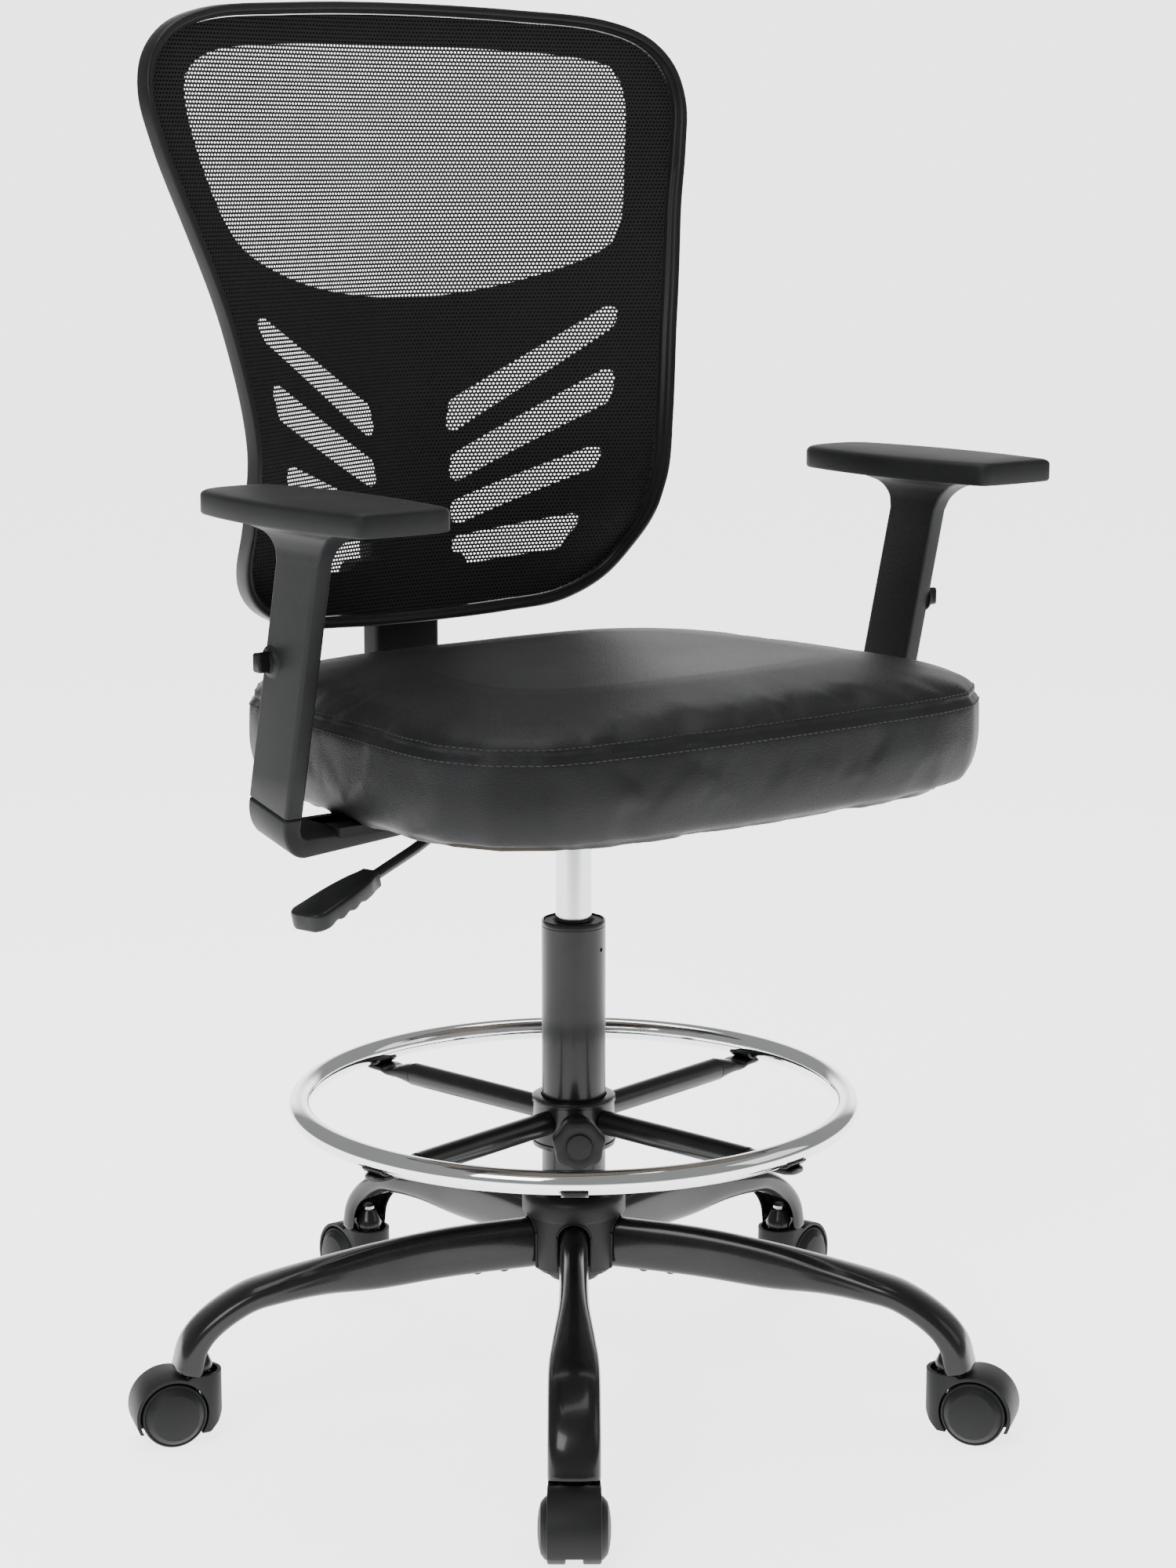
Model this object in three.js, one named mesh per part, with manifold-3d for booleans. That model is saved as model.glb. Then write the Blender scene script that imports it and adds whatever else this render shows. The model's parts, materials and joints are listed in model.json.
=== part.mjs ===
// Drafting chair: five-star base on twin-wheel casters, gas lift, clamped foot ring, padded seat,
// height-adjustable arms and a waisted mesh back.
// Millimetres, +Z up, the sitter faces -Y. The floor is z = 0.
import * as THREE from 'three';
import { mergeVertices } from 'three/addons/utils/BufferGeometryUtils.js';
import Module from 'manifold-3d';

const wasm = await Module();
wasm.setup();

// ---------------------------------------------------------------- driving dimensions
const GAP = 0.3;                 // clearance between touching pieces

// base
const LEG_COUNT = 5;
const STEM_CIRCLE = 304;         // radius of the caster stems about the column
const BASE_TURN = -2.1;          // degrees the base is swivelled from one leg straight back
const LEG_TOP = 148;             // top of a leg where it meets the hub
const LEG_DEPTH = 40;            // height of a leg at the hub
const LEG_WIDTH = 22;            // width of a leg at the hub
const LEG_TOE_WIDTH = 38;        // width of a leg over its caster
const LEG_WALL = 2;
const HUB_WALL = 4;              // wall of the steel hub sleeve at its top
const HUB_BOTTOM = 104;
const HUB_TOP = 160;
const COVER_CLEAR = 5.5;         // hub sleeve to the inside of the plastic hub cover
const COVER_CAP_PROUD = 3.5;     // cap of the cover beyond its skirt
const COVER_BOTTOM = 110;
const COVER_TOP = 169;
const COVER_WALL = 3;
const COVER_CAP_HEIGHT = 18;

// casters
const WHEEL_RADIUS = 25;
const WHEEL_SIDES = 16;
const WHEEL_TREAD = 13;          // flat part of one wheel's tread
const WHEEL_DOME = 7;            // bulge of a wheel's outer face
const CASTER_TRAIL = 22;         // wheel centre behind the stem
const HOOD_WEB = 10;             // middle web of the hood, between the wheels
const HOOD_WALL = 2.6;
const HOOD_CLEAR = 1.2;          // hood to wheel
const NECK_RADIUS = 18;
const NECK_RISE = 4;             // top of the hood's neck above the wheels
const NECK_TO_LEG = 3;           // neck to the toe of the leg
const STEM_RADIUS = 5.5;
const STEM_GRIP = 18;            // length of the stem inside the leg
const AXLE_RADIUS = 3;
const SOCKET_RADIUS = 11;

// gas lift
const COLUMN_RADIUS = 25;
const COLUMN_TOP = 387;
const COLUMN_WALL = 1.6;
const COLUMN_TAPER = 5;          // how much smaller the column's foot is
const COLUMN_TOE = 97;
const LIFT_RADIUS = 14;
const LIFT_BOTTOM = 150;
const LIFT_TOP = 489;
const LIFT_WALL = 1.5;
const BUSH_LENGTH = 56;
const PISTON_RADIUS = 5;

// foot ring
const RING_RADIUS = 215;         // centre line of the tube
const RING_TUBE = 9;
const RING_HEIGHT = 241.5;
const RING_TURN = -35;           // degrees from straight ahead to the clamp knob
const SPOKE_COUNT = 4;
const SPOKE_RADIUS = 9.5;
const SPOKE_DROP = 13;           // spoke centre line below the ring
const COLLAR_WALL = 8;
const COLLAR_BOTTOM = 206;
const COLLAR_TOP = 246;
const KNOB_RADIUS = 20.5;
const KNOB_DEPTH = 32;
const KNOB_LOBES = 7;
const KNOB_REACH = 47;           // knob face from the outside of the collar

// seat
const SEAT_HALF_WIDTH = 257;
const SEAT_BACK_HALF_WIDTH = 240;
const SEAT_FRONT = -246;
const SEAT_BACK = 180;
const SEAT_FRONT_CORNER = 93;
const SEAT_BACK_CORNER = 121;
const SEAT_BOTTOM = 499.5;
const SEAT_SEAM = 569;           // upper edge of the side band
const SEAT_CROWN = 594;          // middle of the top
const BOARD_INSET = 26;
const BOARD_THICK = 12;

// arms
const ARM_SEAT_GAP = 28;         // side of the cushion to the inner face of an arm
const ARM_THICK = 15;
const ARM_DEPTH = 51;            // front to back
const ARM_EDGE = 3;              // radius of an upright's corners
const ARM_LEAN = 0.232;          // forward shift for each millimetre of height
const ARM_MID = -31;             // middle of the arm at the split line
const ARM_SPLIT = 516.5;
const ARM_FOOT_DROP = 32.6;      // split line to the underside of the foot
const ARM_FOOT_THICK = 16;
const ARM_TONGUE = 7;            // flat part of the foot that is screwed under the seat
const ARM_FOOT_INNER = 165;
const ARM_SLIDE = 65;            // height adjustment
const ARM_SLEEVE_WALL = 4.2;     // side wall of the sleeve round the sliding core
const ARM_CORE_DEPTH = 34;
const ARM_CORE_TOP = 634;
const PAD_BOTTOM = 722;
const PAD_TOP = 741;             // crown of the pad
const PAD_FRONT = -188;
const PAD_BACK = 30;
const PAD_FRONT_WIDTH = 75;
const PAD_MID_WIDTH = 91;
const PAD_INWARD = 5.5;          // middle of the pad inside the middle of the arm
const BUTTON_HEIGHT = 622;
const BUTTON_WIDE = 10;
const BUTTON_TALL = 14;
const BUTTON_PROUD = 12;
const BUTTON_OFFSET = 16;        // ahead of the middle of the left arm, behind that of the right arm
const BOSS_RADIUS = 11;
const BOSS_PROUD = 4;

// back
const FRAME_WIDE = 9;            // rim of the frame, seen from the front
const FRAME_FRONT = 8.5;         // rim in front of the mesh
const FRAME_REAR = 8.5;          // rim behind the mesh
const MESH_THICK = 2.4;
const SPINE_WIDE = 63;
const SPINE_THICK = 22;
const SPINE_BACK_OFFSET = 229;   // centre of the spine behind the column
const SPINE_TOP = 690;
const SPINE_LEVEL = 484;         // centre of the run under the seat
const SPINE_BEND = 42;

// lever
const LEVER_RADIUS = 4;
const PADDLE_LENGTH = 76;
const PADDLE_WIDE = 32;
const PADDLE_THICK = 13;

// ---------------------------------------------------------------- sizes that follow
const hubRadius = COLUMN_RADIUS + HUB_WALL;
const coverRadius = hubRadius + COVER_CLEAR + COVER_WALL;
const coverCapRadius = coverRadius + COVER_CAP_PROUD;
const columnToeRadius = COLUMN_RADIUS - COLUMN_TAPER;
const collarRadius = COLUMN_RADIUS + COLLAR_WALL;
const knobFace = collarRadius + KNOB_REACH;
const neckTop = 2 * WHEEL_RADIUS + NECK_RISE;
const legToe = neckTop + NECK_TO_LEG;
const stemTop = legToe + STEM_GRIP;
const armOuter = SEAT_HALF_WIDTH + ARM_SEAT_GAP + ARM_THICK;
const armMiddleX = armOuter - ARM_THICK / 2;
const armCoreThick = ARM_THICK - 2 * ARM_SLEEVE_WALL - 2 * GAP;

// ---------------------------------------------------------------- finishes
const finish = (color, roughness, metalness) => new THREE.MeshStandardMaterial({ color, roughness, metalness });
const blackPaint = finish(0x17181a, 0.35, 0.0);
const blackNylon = finish(0x252628, 0.6, 0.0);
const greyPlastic = finish(0x3a3b3c, 0.55, 0.0);
const chrome = finish(0xdcdcdc, 0.1, 1.0);
const steel = finish(0x9a9c9e, 0.3, 1.0);
const leather = finish(0x1c1c1d, 0.5, 0.0);
const meshCloth = finish(0x101010, 0.8, 0.0);
const plywood = finish(0xb08d5e, 0.7, 0.0);

// ---------------------------------------------------------------- solid helpers
function toSolid(geometry) {
  const bare = new THREE.BufferGeometry();
  bare.setAttribute('position', geometry.getAttribute('position').clone());
  if (geometry.index) bare.setIndex(geometry.index.clone());
  const merged = mergeVertices(bare, 1e-4);
  return new wasm.Manifold(new wasm.Mesh({
    numProp: 3,
    vertProperties: Float32Array.from(merged.getAttribute('position').array),
    triVerts: Uint32Array.from(merged.index.array),
  }));
}

function toGeometry(solid) {
  const mesh = solid.getMesh();
  const geometry = new THREE.BufferGeometry();
  geometry.setAttribute('position', new THREE.BufferAttribute(mesh.vertProperties, 3));
  geometry.setIndex(new THREE.BufferAttribute(mesh.triVerts, 1));
  geometry.computeVertexNormals();
  return geometry;
}

const box = (x, y, z, sx, sy, sz) => toSolid(new THREE.BoxGeometry(sx, sy, sz).translate(x, y, z));
const mirrorX = (solid) => solid.mirror([1, 0, 0]);

// a solid of revolution about +Z from [radius, height] points
function turned(points, sides = 24) {
  const profile = points.map(([r, z]) => new THREE.Vector2(r, z));
  profile.push(profile[0].clone());
  return toSolid(outward(new THREE.LatheGeometry(profile, sides).rotateX(Math.PI / 2)));
}

// a cylinder between two heights
const rod = (radius, z0, z1, sides = 20) => turned([[0, z0], [radius, z0], [radius, z1], [0, z1]], sides);

function signedVolume(geometry) {
  const p = geometry.getAttribute('position');
  const corner = (i) => new THREE.Vector3().fromBufferAttribute(p, geometry.index ? geometry.index.getX(i) : i);
  const count = geometry.index ? geometry.index.count : p.count;
  let total = 0;
  for (let i = 0; i < count; i += 3) total += corner(i).dot(corner(i + 1).cross(corner(i + 2))) / 6;
  return total;
}

// turns every face round if they point inwards
function outward(geometry) {
  const indexed = geometry.index ? geometry : mergeVertices(geometry, 1e-5);
  if (signedVolume(indexed) > 0) return indexed;
  const index = Array.from(indexed.index.array);
  for (let i = 0; i < index.length; i += 3) [index[i], index[i + 1]] = [index[i + 1], index[i]];
  indexed.setIndex(index);
  return indexed;
}

// a skin over rings of equal length; an open loft has its two ends capped
function loft(rings, closed = false) {
  const size = rings[0].length;
  const points = rings.flat();
  const index = [];
  const spans = closed ? rings.length : rings.length - 1;
  for (let i = 0; i < spans; i += 1) {
    const a = i * size;
    const b = ((i + 1) % rings.length) * size;
    for (let j = 0; j < size; j += 1) {
      const k = (j + 1) % size;
      index.push(a + j, a + k, b + k, a + j, b + k, b + j);
    }
  }
  if (!closed) {
    for (const [ring, start, flip] of [[rings[0], 0, true], [rings.at(-1), (rings.length - 1) * size, false]]) {
      const middle = points.length;
      points.push(ring.reduce((sum, p) => sum.add(p), new THREE.Vector3()).divideScalar(size));
      for (let j = 0; j < size; j += 1) {
        const k = (j + 1) % size;
        index.push(middle, start + (flip ? k : j), start + (flip ? j : k));
      }
    }
  }
  const geometry = new THREE.BufferGeometry().setFromPoints(points);
  geometry.setIndex(index);
  return toSolid(outward(geometry));
}

// points of a rounded section: squareness 2 is an ellipse, larger is boxier
function section(halfA, halfB, squareness, count) {
  return Array.from({ length: count }, (_, i) => {
    const t = (i / count) * 2 * Math.PI;
    const soft = (v) => Math.sign(v) * Math.abs(v) ** (2 / squareness);
    return [halfA * soft(Math.cos(t)), halfB * soft(Math.sin(t))];
  });
}

// a smooth curve through [value, value] or [value, value, value] points
function through(points) {
  return new THREE.CatmullRomCurve3(points.map((p) => new THREE.Vector3(...p, 0)), false, 'centripetal');
}

// reads y at a given x along a smooth curve whose x rises
function curveValue(points, x) {
  const last = points.length - 1;
  if (x <= points[0][0]) return points[0][1];
  if (x >= points[last][0]) return points[last][1];
  const i = points.findIndex((p, n) => n < last && x < points[n + 1][0]);
  const slope = (n) => {
    const a = points[Math.max(n - 1, 0)];
    const b = points[Math.min(n + 1, last)];
    return (b[1] - a[1]) / (b[0] - a[0]);
  };
  const [x0, y0] = points[i];
  const [x1, y1] = points[i + 1];
  const w = x1 - x0;
  const t = (x - x0) / w;
  return (2 * t ** 3 - 3 * t ** 2 + 1) * y0 + (t ** 3 - 2 * t ** 2 + t) * w * slope(i)
    + (3 * t ** 2 - 2 * t ** 3) * y1 + (t ** 3 - t ** 2) * w * slope(i + 1);
}

function extrude(shape, depth, steps = 1) {
  return new THREE.ExtrudeGeometry(shape, { depth, steps, bevelEnabled: false, curveSegments: 6 });
}

const chair = new THREE.Group();
chair.name = 'drafting_chair';

function add(parent, name, solid, material) {
  const mesh = new THREE.Mesh(toGeometry(solid), material);
  mesh.name = name;
  parent.add(mesh);
  return mesh;
}

// ---------------------------------------------------------------- base legs
// [distance from the column, height] along a leg's centre line, and [depth, width] at the same places
const legMiddle = LEG_TOP - LEG_DEPTH / 2;
const legStart = hubRadius + 3 * GAP;
const legShoulder = STEM_CIRCLE - 98;       // where the leg starts to turn down
const legRun = (share) => legStart + (legShoulder - legStart) * share;
const legPath = through([
  [legStart, legMiddle], [legRun(0.4), legMiddle - 1.5], [legRun(0.74), legMiddle - 6.5],
  [legShoulder, legMiddle - 10], [STEM_CIRCLE - 62, 113], [STEM_CIRCLE - 38, 107],
  [STEM_CIRCLE - 13, legToe + 37], [STEM_CIRCLE + 2, legToe + 20], [STEM_CIRCLE + 7.5, legToe],
]);
const legSize = through([
  [LEG_DEPTH, LEG_WIDTH], [LEG_DEPTH - 1, LEG_WIDTH], [LEG_DEPTH - 4, LEG_WIDTH + 2], [27, 31],
  [22, LEG_TOE_WIDTH - 1], [20, LEG_TOE_WIDTH], [20, LEG_TOE_WIDTH], [22, LEG_TOE_WIDTH], [24, LEG_TOE_WIDTH],
]);
const LEG_STATIONS = 12;
const LEG_SIDES = 10;
const MOUTH_FROM = 0.72;         // where along the leg its toe starts to open on the underside
const MOUTH_DEEP = 14;

// rings along the leg, shrunk by a wall; deeper(t) draws the underside out past the leg
function legRings(to, wall, deeper) {
  return Array.from({ length: LEG_STATIONS + 1 }, (_, i) => {
    const t = (to * i) / LEG_STATIONS;
    const at = legPath.getPoint(Math.min(t, 1));
    const ahead = legPath.getTangent(Math.min(t, 1));
    at.addScaledVector(ahead, Math.max(t - 1, 0) * 100);
    const size = legSize.getPoint(Math.min(t, 1));
    const down = new THREE.Vector3(ahead.y, -ahead.x, 0);
    return section(size.x / 2 - wall, size.y / 2 - wall, 2.6, LEG_SIDES).map(([a, b]) => {
      const p = at.clone().addScaledVector(down, a > 0.1 ? a + deeper(t) : a);
      return new THREE.Vector3(p.x, b, p.y);
    });
  });
}

// a pressed tube whose toe is a channel round the caster socket
function legSolid() {
  const tube = loft(legRings(1, 0, () => 0));
  const inside = loft(legRings(1.1, LEG_WALL, (t) => (t > MOUTH_FROM ? MOUTH_DEEP : 0)));
  const entry = box(hubRadius, 0, legMiddle, 4, LEG_WIDTH - 2 * LEG_WALL - 4, LEG_DEPTH - 2 * LEG_WALL - 6);
  const socket = turned([
    [STEM_RADIUS + GAP, legToe], [SOCKET_RADIUS, legToe], [SOCKET_RADIUS, legToe + 6],
    [STEM_RADIUS + 1.5, stemTop - 3], [STEM_RADIUS + GAP, stemTop - 3],
  ], 12).translate([STEM_CIRCLE, 0, 0]);
  const weld = box(STEM_CIRCLE + SOCKET_RADIUS + 1, 0, legToe + 4, 9, 10, 8);
  return tube.subtract(inside).subtract(entry).add(weld).add(socket);
}

const base = new THREE.Group();
const legAngle = (i) => THREE.MathUtils.degToRad(90 + BASE_TURN + (i * 360) / LEG_COUNT);
const oneLeg = legSolid();
for (let i = 0; i < LEG_COUNT; i += 1) {
  const leg = add(base, `base_leg_${i + 1}`, oneLeg, blackPaint);
  leg.rotation.z = legAngle(i);
}

// ---------------------------------------------------------------- hub
function hubSleeve() {
  const taper = (COLUMN_RADIUS - columnToeRadius) / (HUB_TOP - COLUMN_TOE);
  const boreAt = (z) => columnToeRadius + GAP + taper * (z - COLUMN_TOE);
  return turned([
    [boreAt(HUB_BOTTOM), HUB_BOTTOM], [hubRadius, HUB_BOTTOM], [hubRadius, HUB_TOP], [boreAt(HUB_TOP), HUB_TOP],
  ], 30);
}

function hubCover() {
  const shoulder = COVER_TOP - COVER_CAP_HEIGHT;
  const rim = COLUMN_RADIUS + 1;
  const inner = coverRadius - COVER_WALL;
  let cover = turned([
    [inner, COVER_BOTTOM], [coverRadius, COVER_BOTTOM], [coverRadius, shoulder],
    [coverCapRadius - 1, shoulder], [coverCapRadius, shoulder + 2], [coverCapRadius, COVER_TOP - 6],
    [coverCapRadius - 2, COVER_TOP - 2], [coverCapRadius - 6, COVER_TOP], [rim, COVER_TOP],
    [rim, COVER_TOP - COVER_WALL], [inner, COVER_TOP - COVER_WALL - 2],
  ], 25);
  const half = LEG_WIDTH / 2 + 1.2;
  const arch = new THREE.Shape();
  arch.moveTo(-half, COVER_BOTTOM - 5);
  arch.lineTo(half, COVER_BOTTOM - 5);
  arch.lineTo(half, LEG_TOP + 1.5 - half);
  arch.absarc(0, LEG_TOP + 1.5 - half, half, 0, Math.PI);
  const slot = toSolid(extrude(arch, coverRadius).rotateX(Math.PI / 2));
  for (let i = 0; i < LEG_COUNT; i += 1) {
    const turn = THREE.MathUtils.radToDeg(legAngle(i)) + 90;
    cover = cover.subtract(slot.translate([0, -20, 0]).rotate([0, 0, turn]));
  }
  return cover;
}
add(base, 'hub_sleeve', hubSleeve(), blackPaint);
add(base, 'hub_cover', hubCover(), blackNylon);

// ---------------------------------------------------------------- gas lift
const columnBore = COLUMN_RADIUS - COLUMN_WALL;
const bushBottom = COLUMN_TOP - 1 - BUSH_LENGTH;
add(base, 'outer_column', turned([
  [PISTON_RADIUS + GAP, COLUMN_TOE], [columnToeRadius, COLUMN_TOE], [COLUMN_RADIUS, HUB_TOP],
  [COLUMN_RADIUS, COLUMN_TOP - 2], [COLUMN_RADIUS - 1, COLUMN_TOP], [columnBore, COLUMN_TOP],
  [columnBore, HUB_TOP], [columnToeRadius - COLUMN_WALL, COLUMN_TOE + 4], [PISTON_RADIUS + GAP, COLUMN_TOE + 4],
], 32), blackPaint);
add(base, 'guide_bush', turned([
  [LIFT_RADIUS + GAP, bushBottom], [columnBore - GAP, bushBottom],
  [columnBore - GAP, COLUMN_TOP - 1], [LIFT_RADIUS + GAP, COLUMN_TOP - 1],
], 24), greyPlastic);
add(base, 'piston_rod', rod(PISTON_RADIUS, COLUMN_TOE - 2, COLUMN_TOP - 70, 12), steel);
add(chair, 'lift_tube', turned([
  [LIFT_RADIUS - LIFT_WALL, LIFT_BOTTOM], [LIFT_RADIUS, LIFT_BOTTOM], [LIFT_RADIUS, LIFT_TOP],
  [0, LIFT_TOP], [0, LIFT_TOP - 6], [LIFT_RADIUS - LIFT_WALL, LIFT_TOP - 6],
], 20), chrome);

// ---------------------------------------------------------------- casters
// in each caster's own frame the stem is the z axis and the wheels trail towards +X
const wheelOuter = WHEEL_RADIUS / Math.cos(Math.PI / WHEEL_SIDES);
const hoodBore = wheelOuter + HOOD_CLEAR;
const hoodOuter = hoodBore + HOOD_WALL;
const wheelInnerFace = HOOD_WEB / 2 + 1;
const hoodHalf = wheelInnerFace + WHEEL_TREAD;
const stemFoot = WHEEL_RADIUS + 8;

function wheelSolid(side) {
  const tread = wheelInnerFace + WHEEL_TREAD;
  const wheel = turned([
    [AXLE_RADIUS + GAP, wheelInnerFace], [wheelOuter, wheelInnerFace], [wheelOuter, tread],
    [WHEEL_RADIUS - 3, tread + WHEEL_DOME * 0.6], [WHEEL_RADIUS * 0.5, tread + WHEEL_DOME * 0.95],
    [0, tread + WHEEL_DOME], [0, tread - 2], [AXLE_RADIUS + GAP, tread - 2],
  ], WHEEL_SIDES);
  const facet = 180 / WHEEL_SIDES;
  return wheel.rotate([0, 0, facet]).rotate([-90 * side, 0, 0]).translate([CASTER_TRAIL, 0, WHEEL_RADIUS]);
}

function hoodSolid() {
  const centre = [CASTER_TRAIL, WHEEL_RADIUS];
  const tipAngle = THREE.MathUtils.degToRad(-24);
  const tip = [centre[0] + hoodOuter * Math.cos(tipAngle), centre[1] + hoodOuter * Math.sin(tipAngle)];
  const side = new THREE.Shape();
  side.moveTo(-NECK_RADIUS, neckTop);
  side.lineTo(-NECK_RADIUS, WHEEL_RADIUS - 2);
  side.lineTo(-6, 9);
  side.lineTo(centre[0], 11);
  side.lineTo(tip[0], tip[1]);
  side.absarc(centre[0], centre[1], hoodOuter, tipAngle, Math.PI * 0.62);
  side.lineTo(NECK_RADIUS - 10, neckTop);
  const width = 2 * hoodHalf;
  let hood = toSolid(extrude(side, width).rotateX(Math.PI / 2).translate(0, width / 2, 0));
  const plan = new THREE.Shape();
  plan.absarc(0, 0, NECK_RADIUS, Math.PI / 2, (3 * Math.PI) / 2);
  plan.lineTo(NECK_RADIUS - 2, -hoodHalf);
  plan.lineTo(centre[0] + hoodOuter + 1, -hoodHalf);
  plan.lineTo(centre[0] + hoodOuter + 1, hoodHalf);
  plan.lineTo(NECK_RADIUS - 2, hoodHalf);
  hood = hood.intersect(toSolid(extrude(plan, 80)));
  for (const y of [-1, 1]) {
    const pocket = rod(hoodBore, HOOD_WEB / 2, HOOD_WEB / 2 + 40, 20).rotate([-90 * y, 0, 0]);
    hood = hood.subtract(pocket.translate([centre[0], 0, centre[1]]));
  }
  const recess = rod(NECK_RADIUS - 3, neckTop - 6, neckTop + 4, 16);
  const stemBore = rod(STEM_RADIUS + GAP, stemFoot, neckTop + 4, 12);
  const axleBore = rod(AXLE_RADIUS + GAP, -HOOD_WEB, HOOD_WEB, 12).rotate([90, 0, 0]);
  return hood.subtract(recess).subtract(stemBore).subtract(axleBore.translate([centre[0], 0, centre[1]]));
}

const hoodPiece = hoodSolid();
const wheelPieces = { a: wheelSolid(1), b: wheelSolid(-1) };
const axleHalf = wheelInnerFace + WHEEL_TREAD - 2 - GAP;
const axlePiece = rod(AXLE_RADIUS, -axleHalf, axleHalf, 12).rotate([90, 0, 0])
  .translate([CASTER_TRAIL, 0, WHEEL_RADIUS]);
const stemPiece = turned([
  [0, stemFoot + GAP], [STEM_RADIUS, stemFoot + GAP], [STEM_RADIUS, neckTop - 3],
  [STEM_RADIUS + 4, neckTop - 3], [STEM_RADIUS + 4, neckTop], [STEM_RADIUS, neckTop], [STEM_RADIUS, stemTop - 3], [STEM_RADIUS - 2, stemTop],
  [0, stemTop + 1],
], 14);
for (let i = 0; i < LEG_COUNT; i += 1) {
  const caster = new THREE.Group();
  caster.rotation.z = legAngle(i);
  caster.position.set(STEM_CIRCLE * Math.cos(legAngle(i)), STEM_CIRCLE * Math.sin(legAngle(i)), 0);
  add(caster, `caster_stem_${i + 1}`, stemPiece, steel);
  add(caster, `caster_hood_${i + 1}`, hoodPiece, blackNylon);
  add(caster, `caster_axle_${i + 1}`, axlePiece, steel);
  for (const side of ['a', 'b']) add(caster, `caster_wheel_${i + 1}${side}`, wheelPieces[side], blackNylon);
  base.add(caster);
}
chair.add(base);

// ---------------------------------------------------------------- foot ring
const footRing = new THREE.Group();
footRing.rotation.z = THREE.MathUtils.degToRad(RING_TURN - 90);   // +X of this group points at the knob
const collarMiddle = (COLLAR_TOP + COLLAR_BOTTOM) / 2;
const TUBE_SIDES = 8;
const tubeCorner = RING_TUBE / Math.cos(Math.PI / TUBE_SIDES);
const ringUnderside = RING_HEIGHT - tubeCorner;
const spokeHeight = RING_HEIGHT - SPOKE_DROP;
const KNOB_BOSS = 12;            // radius of the boss that the knob's screw runs in
const knobBack = knobFace - KNOB_DEPTH;

const alongX = (solid) => solid.rotate([0, 90, 0]);
function collarSolid() {
  const ring = turned([
    [COLUMN_RADIUS + GAP, COLLAR_BOTTOM], [collarRadius - 2, COLLAR_BOTTOM], [collarRadius, COLLAR_BOTTOM + 3],
    [collarRadius, COLLAR_TOP - 3], [collarRadius - 2, COLLAR_TOP], [COLUMN_RADIUS + GAP, COLLAR_TOP],
  ], 28);
  const boss = alongX(rod(KNOB_BOSS, collarRadius - 3, knobBack - GAP, 16)).translate([0, 0, collarMiddle]);
  const thread = alongX(rod(4 + GAP, 10, knobFace, 12)).translate([0, 0, collarMiddle]);
  return ring.add(boss).subtract(thread);
}

function knobSolid() {
  const outline = new THREE.Shape();
  const steps = KNOB_LOBES * 6;
  for (let i = 0; i < steps; i += 1) {
    const t = (i / steps) * 2 * Math.PI;
    const r = KNOB_RADIUS - 1.6 + 1.6 * Math.cos(KNOB_LOBES * t);
    outline[i ? 'lineTo' : 'moveTo'](r * Math.cos(t), r * Math.sin(t));
  }
  const grip = toSolid(extrude(outline, KNOB_DEPTH * 0.55).translate(0, 0, knobBack + KNOB_DEPTH * 0.35));
  const skirt = rod(KNOB_RADIUS * 0.72, knobBack, knobBack + KNOB_DEPTH * 0.4, 20);
  const boss = rod(9, knobFace - 4, knobFace, 20);
  const screw = rod(4, COLUMN_RADIUS + 2 * GAP, knobBack + 4, 12);
  return alongX(grip.add(skirt).add(boss).add(screw)).translate([0, 0, collarMiddle]);
}

// a round tube that is pressed flat where it passes under the ring
function spokeSolid() {
  const flatTop = ringUnderside - GAP;
  const FLAT = 2.4;
  const stations = [
    [collarRadius + GAP, SPOKE_RADIUS, SPOKE_RADIUS, spokeHeight],
    [RING_RADIUS - 42, SPOKE_RADIUS, SPOKE_RADIUS, spokeHeight],
    [RING_RADIUS - 26, SPOKE_RADIUS * 0.6, SPOKE_RADIUS * 1.2, spokeHeight],
    [RING_RADIUS - 14, FLAT, SPOKE_RADIUS * 1.3, flatTop - FLAT],
    [RING_RADIUS + 5, FLAT, SPOKE_RADIUS * 1.1, flatTop - FLAT],
    [RING_RADIUS + 9, FLAT, SPOKE_RADIUS * 0.6, flatTop - FLAT],
  ];
  return loft(stations.map(([r, high, wide, z]) => section(high, wide, 2.2, 12)
    .map(([a, b]) => new THREE.Vector3(r, b, z + a))));
}

add(footRing, 'ring_collar', collarSolid(), blackPaint);
add(footRing, 'ring_knob', knobSolid(), blackNylon);
add(footRing, 'foot_ring', toSolid(new THREE.TorusGeometry(RING_RADIUS, tubeCorner, TUBE_SIDES, 48)
  .translate(0, 0, RING_HEIGHT)), chrome);
const oneSpoke = spokeSolid();
for (let i = 0; i < SPOKE_COUNT; i += 1) {
  const spoke = add(footRing, `ring_spoke_${i + 1}`, oneSpoke, blackPaint);
  spoke.rotation.z = THREE.MathUtils.degToRad(45 + (i * 360) / SPOKE_COUNT);
}
add(footRing, 'ring_joint_clip', box(RING_RADIUS, -11, ringUnderside - GAP - 2, 17, 20, 4), blackPaint);
chair.add(footRing);

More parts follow.
